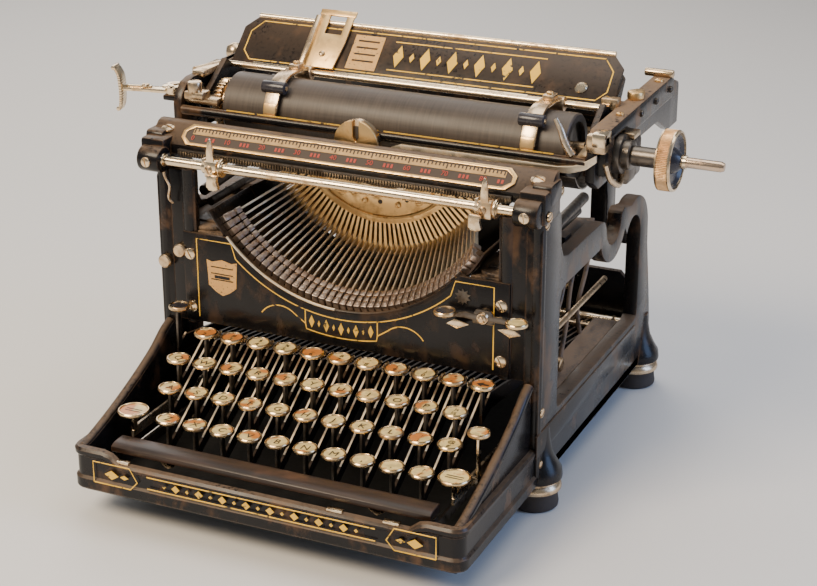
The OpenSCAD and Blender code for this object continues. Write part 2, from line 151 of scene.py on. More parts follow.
def lathe(profile, steps=48):
    """Turns a list of (radius, height) about Z."""
    shape = bmesh.new()
    points = [shape.verts.new((radius, 0, height)) for radius, height in profile]
    edges = [shape.edges.new(pair) for pair in zip(points, points[1:])]
    bmesh.ops.spin(shape, geom=points + edges, cent=(0, 0, 0), axis=(0, 0, 1),
                   angle=math.tau, steps=steps, use_merge=True, use_duplicate=False)
    bmesh.ops.remove_doubles(shape, verts=shape.verts, dist=1e-4)
    bmesh.ops.recalc_face_normals(shape, faces=shape.faces)
    return shape


def slab(depth, outline, holes=(), ease=0.0):
    """A flat plate in XY with its outline and holes, thickened towards +Z."""
    shape = bmesh.new()
    for loop in (outline, *holes):
        points = [shape.verts.new((u, v, 0)) for u, v in loop]
        for pair in zip(points, points[1:] + points[:1]):
            shape.edges.new(pair)
    if holes:
        bmesh.ops.triangle_fill(shape, use_beauty=True, use_dissolve=False, edges=shape.edges[:])
    else:
        bmesh.ops.contextual_create(shape, geom=shape.edges[:])
    made = bmesh.ops.extrude_face_region(shape, geom=shape.faces[:])
    bmesh.ops.translate(shape, vec=(0, 0, depth), verts=new_points(made))
    bmesh.ops.recalc_face_normals(shape, faces=shape.faces)
    return eased(shape, ease) if ease else shape


def tube(path, radius, sides=14):
    """A round bar that follows the points of path."""
    points = [Vector(p) for p in path]
    ways = []
    for i in range(len(points)):
        before, after = points[max(i - 1, 0)], points[min(i + 1, len(points) - 1)]
        ways.append((after - before).normalized())
    shape = bmesh.new()
    ring = bmesh.ops.create_circle(shape, cap_ends=False, segments=sides, radius=radius)["verts"]
    turn = Vector((0, 0, 1)).rotation_difference(ways[0]).to_matrix()
    place = Matrix.Translation(points[0]) @ turn.to_4x4()
    bmesh.ops.transform(shape, matrix=place, verts=ring)
    edges = shape.edges[:]
    for i in range(1, len(points)):
        turn = ways[i - 1].rotation_difference(ways[i]).to_matrix() @ turn
        following = Matrix.Translation(points[i]) @ turn.to_4x4()
        verts, edges = pull(shape, edges)
        bmesh.ops.transform(shape, matrix=following @ place.inverted(), verts=verts)
        place = following
    close(shape)
    bmesh.ops.recalc_face_normals(shape, faces=shape.faces)
    return shape


def screw(radius=3.4):
    """A domed screw head with its slot, its foot at the origin and its face towards +Z."""
    shape = lathe([(0, 0), (radius, 0), (radius, 0.9), (0, 0.9)], 24)
    for side in (-1, 1):
        half = lathe([(0, 0.8), (radius * 0.97, 0.8), (radius * 0.93, 1.3), (radius * 0.55, 1.75),
                      (0, 1.9)], 24)
        cut(half, (side * 0.14 * radius, 0, 0), (side, 0, 0), clear_inner=True)
        close(half)
        half.to_mesh(scratch())
        shape.from_mesh(scratch())
        half.free()
    return shape


def scratch():
    """The mesh that shapes are copied through."""
    return bpy.data.meshes.get("scratch") or bpy.data.meshes.new("scratch")


def lettering(text, size, thick=0.12):
    """A word as a flat relief in XY, centred on the origin."""
    curve = bpy.data.curves.new("letters", "FONT")
    curve.body = text
    curve.size = size
    curve.align_x = "CENTER"
    curve.align_y = "CENTER"
    curve.extrude = thick
    curve.resolution_u = 3
    holder = bpy.data.objects.new("letters", curve)
    bpy.context.scene.collection.objects.link(holder)
    seen = holder.evaluated_get(bpy.context.evaluated_depsgraph_get())
    mesh = bpy.data.meshes.new_from_object(seen)
    shape = bmesh.new()
    shape.from_mesh(mesh)
    bpy.data.objects.remove(holder)
    bpy.data.curves.remove(curve)
    bpy.data.meshes.remove(mesh)
    return shape


def bow(across, up, radius, start, stop, count=16):
    """Points of an arc, in degrees."""
    turns = [math.radians(start + (stop - start) * i / count) for i in range(count + 1)]
    return [(across + radius * math.cos(t), up + radius * math.sin(t)) for t in turns]


def curve_through(points, each=6):
    """A smooth line through points of any dimension."""
    points = [Vector(p) for p in points]
    ends = [points[0] * 2 - points[1], *points, points[-1] * 2 - points[-2]]
    line = []
    for i in range(1, len(ends) - 2):
        a, b, c, d = ends[i - 1:i + 3]
        for k in range(each):
            t = k / each
            line.append(0.5 * (2 * b + (c - a) * t + (2 * a - 5 * b + 4 * c - d) * t * t
                               + (3 * b - a - 3 * c + d) * t ** 3))
    return [tuple(p) for p in (*line, points[-1])]


def rounded(low_u, low_v, high_u, high_v, radius, count=5):
    """A rectangle's outline with round corners."""
    r = radius
    return (bow(high_u - r, low_v + r, r, -90, 0, count) + bow(high_u - r, high_v - r, r, 0, 90, count)
            + bow(low_u + r, high_v - r, r, 90, 180, count) + bow(low_u + r, low_v + r, r, 180, 270, count))


def rectangle(low_u, low_v, high_u, high_v):
    """A rectangle's outline with sharp corners."""
    return [(low_u, low_v), (high_u, low_v), (high_u, high_v), (low_u, high_v)]


def diamond(u, v, wide, high):
    """The outline of a diamond about its middle, by its half width and half height."""
    return [(u - wide, v), (u, v + high), (u + wide, v), (u, v - high)]


def toothed(count, *marks):
    """A wheel's outline. Each step has the same marks: a radius and a share of the step."""
    steps = [(radius, math.tau * (i + share) / count) for i in range(count) for radius, share in marks]
    return [(radius * math.cos(turn), radius * math.sin(turn)) for radius, turn in steps]


def ring(across, up, radius, count):
    """A closed circle."""
    return bow(across, up, radius, 0, 360, count)[:-1]


def band(outer, inner, count=50):
    """A curved strip between two radii, under the fan of type bars."""
    left, right = -90 - HALF, -90 + HALF
    return bow(0, 0, outer, left, right, count) + bow(0, 0, inner, right, left, count)


def on_side(x):
    """Stands a plate up in YZ, with its thickness towards +X from x."""
    return Matrix(((0, 0, 1, x), (1, 0, 0, 0), (0, 1, 0, 0), (0, 0, 0, 1)))


def on_front(y):
    """Stands a plate up in XZ, with its thickness towards the front from y."""
    return Matrix(((1, 0, 0, 0), (0, 0, -1, y), (0, 1, 0, 0), (0, 0, 0, 1)))


def moved(x, y, z):
    """Moves a shape without turning it."""
    return Matrix.Translation((x, y, z))


def at_print(y, drop=0.0):
    """Stands a plate up about the printing axis."""
    return moved(0, 0, PRINT_Z - drop) @ on_front(y)


def round_print(turn):
    """Turns a shape about the printing axis, from straight down, in degrees."""
    return moved(0, 0, PRINT_Z) @ Matrix.Rotation(math.radians(-turn), 4, "Y")


MIRROR = Matrix.Diagonal((-1, 1, 1, 1))


class Blank:
    """A piece in the making. Shapes that are added take the finish that is current."""

    def __init__(self):
        self.mesh = bmesh.new()
        self.finishes = []
        self.current = 0

    def use(self, name):
        """Makes a finish the current one."""
        if name not in self.finishes:
            self.finishes.append(name)
        self.current = self.finishes.index(name)
        return self

    def add(self, shape, place=None, both=False):
        """Adds a shape at its place, and also on the other side of the machine when both is set."""
        if place is not None:
            bmesh.ops.transform(shape, matrix=place, verts=shape.verts)
            if place.determinant() < 0:
                bmesh.ops.reverse_faces(shape, faces=shape.faces)
        for face in shape.faces:
            face.material_index = self.current
            face.smooth = True
        shape.to_mesh(scratch())
        self.mesh.from_mesh(scratch())
        if both:
            bmesh.ops.transform(shape, matrix=MIRROR, verts=shape.verts)
            bmesh.ops.reverse_faces(shape, faces=shape.faces)
            shape.to_mesh(scratch())
            self.mesh.from_mesh(scratch())
        shape.free()
        return self

    def done(self, name, body, slot, *nodes):
        """Makes the piece, lets it ride on its body and stand for its nodes."""
        bmesh.ops.transform(self.mesh, matrix=Matrix.Scale(MM, 4), verts=self.mesh.verts)
        mesh = bpy.data.meshes.new(name)
        self.mesh.to_mesh(mesh)
        self.mesh.free()
        mesh.set_sharp_from_angle(angle=SHARP)
        for finish in self.finishes:
            mesh.materials.append(finish_named(finish))
        piece = bpy.data.objects.new(name, mesh)
        bpy.context.scene.collection.objects.link(piece)
        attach(piece, body)
        if nodes:
            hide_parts(*nodes)
        return piece


# ---- Finishes ----

class Wire:
    """A socket's value in a finish, which understands arithmetic."""

    def __init__(self, finish, socket):
        self.finish = finish
        self.socket = socket

    def math(self, operation, first, second=0.0):
        return self.finish.node("ShaderNodeMath", {"operation": operation}, {0: first, 1: second})

    def __add__(self, other):
        return self.math("ADD", self, other)

    def __sub__(self, other):
        return self.math("SUBTRACT", self, other)

    def __rsub__(self, other):
        return self.math("SUBTRACT", other, self)

    def __mul__(self, other):
        return self.math("MULTIPLY", self, other)

    __radd__ = __add__
    __rmul__ = __mul__

    def over(self, other):
        """The larger of the two."""
        return self.math("MAXIMUM", self, other)

    def step(self, low, high):
        """0 below low, 1 above high, smooth between."""
        return self.finish.node("ShaderNodeMapRange", {"interpolation_type": "SMOOTHSTEP"},
                                {"Value": self, "From Min": low, "From Max": high})


class Finish:
    """One procedural material on Object coordinates."""

    def __init__(self, name, **fixed):
        self.material = bpy.data.materials.new(name)
        self.material.use_nodes = True
        self.tree = self.material.node_tree
        self.shader = self.tree.nodes["Principled BSDF"]
        self.place = self.node("ShaderNodeTexCoord", {}, {}, "Object")
        self.colours = bpy.context.scene.typewriter_colours
        for key, value in fixed.items():
            self.shader.inputs[key.replace("_", " ")].default_value = value

    def node(self, kind, settings, inputs, out=0):
        """Adds a node: its settings first, then the values or links of its sockets."""
        made = self.tree.nodes.new(kind)
        for key, value in settings.items():
            setattr(made, key, value)
        for key, value in inputs.items():
            if isinstance(value, Wire):
                self.tree.links.new(value.socket, made.inputs[key])
            else:
                made.inputs[key].default_value = value
        return Wire(self, made.outputs[out])

    def noise(self, scale, detail=4, stretch=(1, 1, 1), rough=0.55):
        """Cloudy values about 0.5, with about scale clouds to the metre."""
        place = self.node("ShaderNodeMapping", {}, {"Vector": self.place, "Scale": stretch})
        return self.node("ShaderNodeTexNoise", {},
                         {"Vector": place, "Scale": scale, "Detail": detail, "Roughness": rough})

    def mix(self, share, under, over):
        """A share of one colour over another."""
        return self.node("ShaderNodeMix", {"data_type": "RGBA"},
                         {0: share, 6: _rgba(under), 7: _rgba(over)}, 2)

    def tones(self, share, colour, dark, light):
        """From a darker to a lighter tone of one colour."""
        return self.mix(share, scaled(colour, dark), scaled(colour, light))

    def edges(self, width):
        """Near 1 along the edges of a piece, 0 on its flats."""
        round_way = self.node("ShaderNodeBevel", {"samples": 4}, {"Radius": width * MM})
        flat_way = self.node("ShaderNodeNewGeometry", {}, {}, "Normal")
        same = self.node("ShaderNodeVectorMath", {"operation": "DOT_PRODUCT"},
                         {0: round_way, 1: flat_way}, "Value")
        return ((1 - same) * 5).step(0.05, 0.9)

    def upward(self):
        """1 where a face looks up, 0 where it stands."""
        way = self.node("ShaderNodeNewGeometry", {}, {}, "Normal")
        height = self.node("ShaderNodeSeparateXYZ", {}, {0: way}, "Z")
        return height.step(0.45, 0.95)

    def feed(self, **links):
        """Links what changes over the surface to the shader."""
        for key, value in links.items():
            self.tree.links.new(value.socket, self.shader.inputs[key.replace("_", " ")])
        return self

    def relief(self, height, depth):
        """Bumps of the given depth, in millimetres."""
        bump = self.node("ShaderNodeBump", {}, {"Height": height, "Distance": depth * MM, "Strength": 1.0})
        return self.feed(Normal=bump)


def _rgba(colour):
    return colour if isinstance(colour, Wire) else (*colour[:3], 1)


def scaled(colour, share):
    """A lighter or darker tone of a colour."""
    return tuple(c * share for c in colour[:3])


def japan(name, dust, wear):
    """Black japanned enamel: glossy, with dust on top and brown wear along its edges."""
    f = Finish(name, Coat_Weight=0.0, Specular_IOR_Level=0.3)
    cloud = f.noise(26, 6)
    patch = f.noise(75, 7, (1, 1, 0.6))
    fine = f.noise(420, 3)
    speck = f.noise(1500, 2)
    edge_wear = f.edges(1.7) * patch.step(0.38, 0.6) * wear
    patch_wear = (cloud * 0.4 + patch * 0.6).step(0.52, 0.66) * 0.7 * wear
    rubbed = edge_wear.over(patch_wear)
    dusty = f.upward() * (cloud * 0.55 + fine * 0.6).step(0.34, 0.6) * dust
    colour = f.tones(fine, f.colours.enamel, 0.6, 1.3)
    colour = f.mix(rubbed, colour, f.tones(speck, f.colours.wear, 0.7, 1.4))
    colour = f.mix(dusty, colour, f.colours.dust)
    f.feed(Base_Color=colour, Roughness=(cloud * 0.3 + 0.1 + dusty * 0.45 + rubbed * 0.15).over(0.08))
    f.feed(Metallic=rubbed * 0.35)
    return f.relief(fine * 0.5 + speck * 0.25 + rubbed * 0.6, 0.12)


def plating(name, bright, tarnish, rough=0.24, stains=0.5):
    """Old plated metal: warm, with tarnish clouds and small pits."""
    f = Finish(name, Metallic=1.0)
    cloud = f.noise(70, 6)
    grain = f.noise(650, 3)
    spots = f.noise(240, 4)
    dull = (cloud * 0.6 + spots * 0.4).step(0.5 - 0.08 * stains, 0.66)
    pits = spots.step(0.64, 0.7)
    colour = f.mix(dull * 0.75, bright, tarnish)
    colour = f.mix(pits * 0.6 * stains, colour, scaled(tarnish, 0.35))
    f.feed(Base_Color=colour, Roughness=dull * 0.24 + grain * 0.1 + pits * 0.2 + (rough - 0.05))
    return f.relief(grain * 0.35 - pits * 0.5, 0.06)


def gilt(name):
    """Gold paint, rubbed through to the enamel in places."""
    f = Finish(name)
    worn = f.noise(180, 5).step(0.58, 0.66)
    tone = f.noise(60, 3)
    gold = f.tones(tone, f.colours.gilt, 0.8, 1.2)
    f.feed(Base_Color=f.mix(worn, gold, scaled(f.colours.enamel, 2.5)))
    f.feed(Metallic=(1 - worn) * 0.3, Roughness=worn * 0.1 + tone * 0.2 + 0.3)
    return f


def shield_paint(name):
    """Bronze transfer print on the shield and the paper table's panel."""
    f = Finish(name)
    tone = f.noise(300, 5)
    worn = f.noise(700, 4).step(0.6, 0.68)
    paint = f.mix(tone, (0.62, 0.30, 0.09), (0.75, 0.47, 0.16))
    f.feed(Base_Color=f.mix(worn * 0.8, paint, scaled(f.colours.enamel, 3)), Roughness=tone * 0.3 + 0.3)
    return f


def key_face(name):
    """Aged celluloid key faces: cream, some of them browned."""
    f = Finish(name, Coat_Weight=0.12, Coat_Roughness=0.15)
    whole = f.noise(47, 1)
    blot = f.noise(160, 5)
    fine = f.noise(900, 3)
    brown = (whole * 0.95 + blot * 0.3).step(0.65, 0.71)
    colour = f.tones(blot.step(0.35, 0.65), f.colours.ivory, 0.72, 1.06)
    colour = f.mix(brown * 0.92, colour, f.tones(blot, f.colours.stain, 0.6, 1.5))
    colour = f.mix(blot.step(0.58, 0.7) * 0.6, colour, scaled(f.colours.stain, 0.8))
    f.feed(Base_Color=colour, Roughness=blot * 0.2 + fine * 0.1 + 0.22)
    return f.relief(fine, 0.02)


def flat_paint(name, colour, rough=0.5, spread=0.25, scale=300):
    """Paint, ink or rubber of one colour in uneven tones."""
    f = Finish(name)
    tone = f.noise(scale, 4)
    f.feed(Base_Color=f.tones(tone, colour, 1 - spread, 1 + spread),
           Roughness=tone * 0.3 + (rough - 0.15))
    return f.relief(tone, 0.05)


def roller_rubber(name):
    """Hard rubber with fine marks round it and lines along it."""
    f = Finish(name)
    rings = f.noise(900, 3, (1, 0.05, 0.05))
    lines = f.noise(400, 3, (0.03, 1, 1))
    cloud = f.noise(30, 5)
    tone = (rings * 0.5 + lines * 0.3 + cloud * 0.5).step(0.4, 0.85)
    f.feed(Base_Color=f.tones(tone, f.colours.rubber, 0.75, 1.7),
           Roughness=cloud * 0.2 + lines * 0.12 + 0.3)
    return f.relief(rings * 0.6 + lines * 0.5, 0.08)


def worn_wood(name):
    """Dark varnished wood whose grain runs along X, rubbed to brown in the middle."""
    f = Finish(name, Coat_Weight=0.2, Coat_Roughness=0.3)
    grain = f.noise(260, 6, (0.08, 1, 1), 0.7)
    cloud = f.noise(22, 3)
    rub = (f.edges(1.6) * 0.8 + cloud.step(0.5, 0.68) * 0.8).step(0.2, 1.2)
    colour = f.tones(grain.step(0.35, 0.65), f.colours.wood, 0.16, 0.5)
    f.feed(Base_Color=f.mix(rub, colour, f.mix(grain, f.colours.wood, scaled(f.colours.wood, 2.1))),
           Roughness=grain * 0.25 + 0.3)
    return f.relief(grain, 0.15)


def bare_dust(name):
    """Enamel under a thick layer of grey-brown dust, with streaks."""
    f = Finish(name)
    streak = f.noise(90, 6, (1, 0.25, 1))
    fine = f.noise(700, 3)
    layer = (streak * 0.7 + fine * 0.4).step(0.36, 0.62)
    f.feed(Base_Color=f.mix(layer, scaled(f.colours.enamel, 1.5), scaled(f.colours.dust, 1.1)),
           Roughness=layer * 0.5 + 0.3)
    return f.relief(fine * 0.5 + layer * 0.5, 0.15)


# Each finish: its maker and what the maker is given
FINISHES = {
    "black enamel": (japan, 0.55, 0.62),
    "rubbed enamel": (japan, 1.2, 1.1),
    "shaded enamel": (japan, 0.4, 0.3),
    "plate enamel": (japan, 0.3, 0.3),
    "nickel": (plating, (0.70, 0.53, 0.34), (0.33, 0.20, 0.10)),
    "bright nickel": (plating, (0.88, 0.71, 0.48), (0.52, 0.34, 0.18), 0.17, 0.3),
    "key ring": (plating, (0.80, 0.60, 0.34), (0.36, 0.20, 0.09), 0.2, 0.5),
    # Bright plating for the type bars and trims. On the key levers' top edges it is a painted highlight.
    "lever edge": (plating, (0.95, 0.84, 0.66), (0.60, 0.44, 0.28), 0.42, 0.4),
    "brass": (plating, (0.86, 0.57, 0.25), (0.52, 0.30, 0.11), 0.34, 0.3),
    "bar steel": (plating, (0.80, 0.68, 0.52), (0.42, 0.28, 0.16), 0.26, 0.4),
    "dark steel": (plating, (0.16, 0.14, 0.12), (0.07, 0.05, 0.035), 0.34, 0.6),
    "slug steel": (plating, (0.66, 0.55, 0.47), (0.26, 0.16, 0.11), 0.33, 0.9),
    "knurled nickel": (plating, (0.72, 0.48, 0.27), (0.44, 0.26, 0.12), 0.42),
    "gilt": (gilt,),
    "shield": (shield_paint,),
    "key face": (key_face,),
    "ink": (flat_paint, (0.045, 0.028, 0.018), 0.5),
    "deep shade": (flat_paint, (0.006, 0.0055, 0.005), 0.8),
    "dark face": (flat_paint, (0.03, 0.028, 0.035), 0.25),
    "red ink": (flat_paint, (0.42, 0.045, 0.025), 0.5),
    "scale strip": (flat_paint, (0.50, 0.31, 0.12), 0.45, 0.5, 120),
    "roller rubber": (roller_rubber,),
    "foot rubber": (flat_paint, (0.045, 0.034, 0.028), 0.75, 0.5),
    "wood": (worn_wood,),
    "dusty enamel": (bare_dust,),
    "shaft steel": (plating, (0.66, 0.5, 0.36), (0.34, 0.18, 0.1), 0.22, 0.6),
}


def finish_named(name):
    """The material of a finish, made when it is first asked for."""
    title = name.replace(" ", "_") + "_finish"
    make, *settings = FINISHES[name]
    return bpy.data.materials.get(title) or make(title, *settings).material


# ---- What a user may change ----

class TypewriterSizes(bpy.types.PropertyGroup):
    """Sizes of the details, the camera and the floor"""
    line_width: bpy.props.FloatProperty(
        name="Gilt line", description="Width of the gilt lines, in millimetres",
        default=0.9, min=0.4, max=2)
    letter_size: bpy.props.FloatProperty(
        name="Key letters", description="Height of the letters on the keys, in millimetres",
        default=7.6, min=4, max=9)
    camera_lens: bpy.props.FloatProperty(
        name="Lens", description="Focal length of the camera, in millimetres",
        default=80.97, min=20, max=200)
    floor_size: bpy.props.FloatProperty(
        name="Floor", description="Side of the floor", default=8.0, unit="LENGTH")


def shade(name, words, default):
    """A colour that a user may change."""
    return bpy.props.FloatVectorProperty(name=name, description=words, subtype="COLOR", size=3,
                                         default=default, min=0, max=1)


class TypewriterColours(bpy.types.PropertyGroup):
    """Colours of the finishes"""
    enamel: shade("Enamel", "Black japanned enamel", (0.0075, 0.0068, 0.0075))
    wear: shade("Wear", "Brown of the rubbed edges", (0.20, 0.105, 0.05))
    dust: shade("Dust", "Dust on faces that look up", (0.20, 0.13, 0.078))
    gilt: shade("Gilt", "Gilt lines and ornaments", (0.93, 0.56, 0.07))
    ivory: shade("Key faces", "Aged cream of the key faces", (0.86, 0.66, 0.27))
    stain: shade("Key stains", "Brown of the stained key faces", (0.50, 0.15, 0.022))
    rubber: shade("Roller", "Hard rubber of the roller", (0.042, 0.031, 0.023))
    wood: shade("Space bar", "Rubbed wood of the space bar", (0.075, 0.034, 0.016))


def gilt_line(blank, points, place):
    """A gilt line painted on a plate that faces the front."""
    width = bpy.context.scene.typewriter_sizes.line_width
    blank.use("gilt").add(tube([(u, v, 0) for u, v in points], width / 2, 6), place
                          @ Matrix.Diagonal((1, 1, 0.35, 1)))


def screw_at(blank, place, way, radius=3.4, finish="bright nickel", turn=30):
    """Sets a screw on a face that looks along way, with its slot turned by some degrees."""
    before = blank.current
    blank.use(finish).add(screw(radius), aim(place, way) @ Matrix.Rotation(math.radians(turn), 4, "Z"))
    blank.current = before


# ---- Frame ----

class TYPEWRITER_OT_frame(bpy.types.Operator):
    """Base tray, side castings, keyboard walls and the cross bars of the frame"""
    bl_idname = "typewriter.frame"
    bl_label = "Frame"

    def tray(self):
        """The base's wall, swept round its rounded outline, with a dark sheet under it as painted shade
        below the keys.
        """
        tray = Blank().use("black enamel")
        profile = [(0.6, 20), (0, 21), (0, 27), (1.6, 28.4), (1.6, 38.2), (0.2, 39.6), (0, 41.5), (1.4, 43),
                   (4.6, 43.4), (5.6, 42.4), (5.6, 22), (4, 20), (0.6, 20)]
        wall = bmesh.new()
        first = [wall.verts.new((u, v, 0)) for u, v in
                 rounded(-OUTER_X, FRONT_Y, OUTER_X, REAR_Y, 9, 8)]
        edges = [wall.edges.new(pair) for pair in zip(first, first[1:] + first[:1])]
        for inset, height in profile:
            verts, edges = pull(wall, edges)
            outline = rounded(-OUTER_X + inset, FRONT_Y + inset, OUTER_X - inset, REAR_Y - inset, 9
                              - inset, 8)
            verts.sort(key=lambda vert: self.turn_of(vert.co))
            for vert, (u, v) in zip(verts, sorted(outline, key=self.turn_of)):
                vert.co = (u, v, height)
        bmesh.ops.delete(wall, geom=first, context="VERTS")
        # The front rail dips between its raised corners, so it is cut where it bends
        for x in (-108, -102, -96, 96, 102, 108):
            cut(wall, (x, 0, 0), (1, 0, 0))
        bmesh.ops.remove_doubles(wall, verts=wall.verts, dist=1e-3)
        for vert in wall.verts:
            ahead = min(max((-196 - vert.co.y) / 22, 0), 1)
            middle = min(max((104 - abs(vert.co.x)) / 8, 0), 1)
            vert.co.z += (4.2 - 6.2 * middle) * ahead * min(max((vert.co.z - 28) / 14, 0), 1)
        bmesh.ops.recalc_face_normals(wall, faces=wall.faces)
        tray.add(wall)
        for x in (-100, 44, 80):
            tray.use("bright nickel").add(cube((x, -230.5, 41.2), (x + 10, -226.5, 42.8), 0.3))
        # A dark sheet under the open bottom that hides the floor below the keys: painted shade.
        tray.use("deep shade").add(cube((-124, -226, 16.4), (124, 110, 17.4)))
        return tray

    @staticmethod
    def turn_of(point):
        """The direction of a point of the wall from the tray's middle."""
        return math.atan2(point[1] - (FRONT_Y + REAR_Y) / 2, point[0])

    def casting(self):
        """The right-hand side casting, from its inner to its outer face."""
        outer = [(-117.5, 24), (-117.5, 186), (-114.5, 192), (-108, 196), (-101, 202), (-100, 211.8),
                 (-89.6, 211.8), (-89.4, 192), (-86, 188), (-84.5, 168), (-80, 160), (-72, 158),
                 (-10, 158), (-2, 156), *bow(17, 150, 15, 180, 360, 14), (33.5, 152), (38, 153.4),
                 (46, 151.5), *bow(65, 124, 28, 112, 0, 10), (94, 110), (103, 72), (108, 48), (108, 24),
                 (104, 20.5), (-114, 20.5)]
        window = [(-84, 64), (-82, 60.5), (-78, 60), (70, 60), (75, 62), (76, 68),
                  *bow(60, 124, 16, 0, 152, 10), *bow(17, 150, 27, -28, -158, 12), (-12, 139.4),
                  (-74, 139.4), (-81, 137.5), (-84, 132)]
        return slab(10, outer, [window], ease=1.5)

    def wing(self):
        """The wall beside the keyboard: its top line, and its plate."""
        top = curve_through([(-226, 46), (-214, 48.6), (-190, 56), (-165, 65.5), (-142, 76), (-128, 85),
                             (-119, 89)], 5)
        return top, slab(5.4, [*top, (-117.5, 24), (-226, 24)], ease=0.8)

    def execute(self, context):
        self.tray().done("base_tray", "frame_body", "black_enamel", "main_frame")
        sides = Blank().use("black enamel")
        sides.add(self.casting(), on_side(INNER_X), both=True)
        sides.add(cube((103, -117.5, 90), (122, -112, 193), 1.6), both=True)
        sides.add(rod((108.5, -114.8, 90), (108.5, -114.8, 194), 4.6, 20), both=True)
        sides.add(rod((127.2, -113.6, 26), (127.2, -113.6, 192), 4.4, 24), both=True)
        top, wall = self.wing()
        sides.add(wall, on_side(121.5), both=True)
        sides.add(tube([(125, y, z - 1.4) for y, z in top], 3.4, 16), both=True)
        for y in (-100, 100):
            flare = lathe([(0, 20), (16.8, 20), (17, 21.5), (16.4, 26), (13.4, 31), (10.2, 38), (8.6, 46),
                           (8, 54), (0, 54)])
            cut(flare, (-2, 0, 0), (-1, 0, 0), clear_outer=True)
            close(flare)
            sides.add(flare, moved(124, y, 0), both=True)
        sides.add(slab(1.6, [(-120, 56), (-120, 41), (-84, 41), (72, 41), (72, 56)], ease=0.4),
                  on_side(130.2), both=True)
        sides.add(cube((96, 70, 112), (108, 90, 186), 1.5), both=True)
        for y, z, size in ((-112, 69, 3.2), (-112, 34, 2.6), (-88.8, 204, 3), (-112, 190, 3)):
            for side in (-1, 1):
                screw_at(sides, (side * (OUTER_X - 0.3), y, z), (side, 0, 0), size, "nickel")
        sides.done("side_castings", "frame_body", "black_enamel")
        rear = Blank().use("shaded enamel")
        rear.add(cube((-INNER_X, 78, 112), (INNER_X, 90, 122), 1.2))
        apron = [(-121, 21), (121, 21), (121, 66), (108, 80), (-108, 80), (-121, 66)]
        holes = [ring(x, 52, 9, 20) for x in (-60, 0)]
        rear.add(slab(4.5, apron, holes, ease=0.8), on_front(111))
        for x, z in ((-112, 32), (112, 32), (-104, 70), (104, 70)):
            screw_at(rear, (x, 110.6, z), (0, 1, 0), 3.2, "nickel")
        rear.done("rear_apron", "frame_body", "black_enamel")
        gilding = Blank()
        front = on_front(FRONT_Y - 0.02)
        for side in (-1, 1):
            corners = (114, 26.5), (88, 26.5), (83, 32), (88, 40.5), (114, 40.5), (114, 26.5)
            gilt_line(gilding, [(side * u, v) for u, v in corners], front @ moved(0, 0, 0.1))
            gilding.add(slab(0.3, diamond(side * 101, 33.5, side * 5, 3.1)), front)
            gilding.add(slab(0.3, diamond(side * 92, 33.5, side * 3, 1.5)), front)
        for x in range(-64, 65, 8):
            wide, high = (2.8, 2.6) if (x // 8) % 2 else (1.3, 1.3)
            gilding.add(slab(0.3, diamond(x, 33.5, wide, high)), front)
        for z in (29.6, 37.4):
            gilt_line(gilding, [(-76, z), (76, z)], front @ moved(0, 0, 0.1))
        gilding.done("front_gilding", "frame_body", "plate_enamel")
        return {"FINISHED"}


class TYPEWRITER_OT_feet(bpy.types.Operator):
    """Rubber feet in their plated collars"""
    bl_idname = "typewriter.feet"
    bl_label = "Feet"

    def execute(self, context):
        rubber = Blank().use("foot rubber")
        collars = Blank().use("nickel")
        for x in (-124, 124):
            for y in (-100, 100):
                rubber.add(lathe([(0, 0.6), (3, 0.6), (3, 0), (13.6, 0), (14.8, 1.2), (15, 3),
                                  (14.4, 6.5), (14.3, 9), (14.6, 11.8), (0, 11.8)]), moved(x, y, 0))
                collars.add(lathe([(0, 11.9), (15.4, 11.9), (16.4, 12.6), (16.6, 14.4), (16, 16.2),
                                   (14.6, 17.6), (14.2, 19), (15.2, 20), (0, 20)]), moved(x, y, 0))
        rubber.done("rubber_feet", "frame_body", "foot_rubber", "feet")
        collars.done("foot_collars", "frame_body", "nickel")
        return {"FINISHED"}


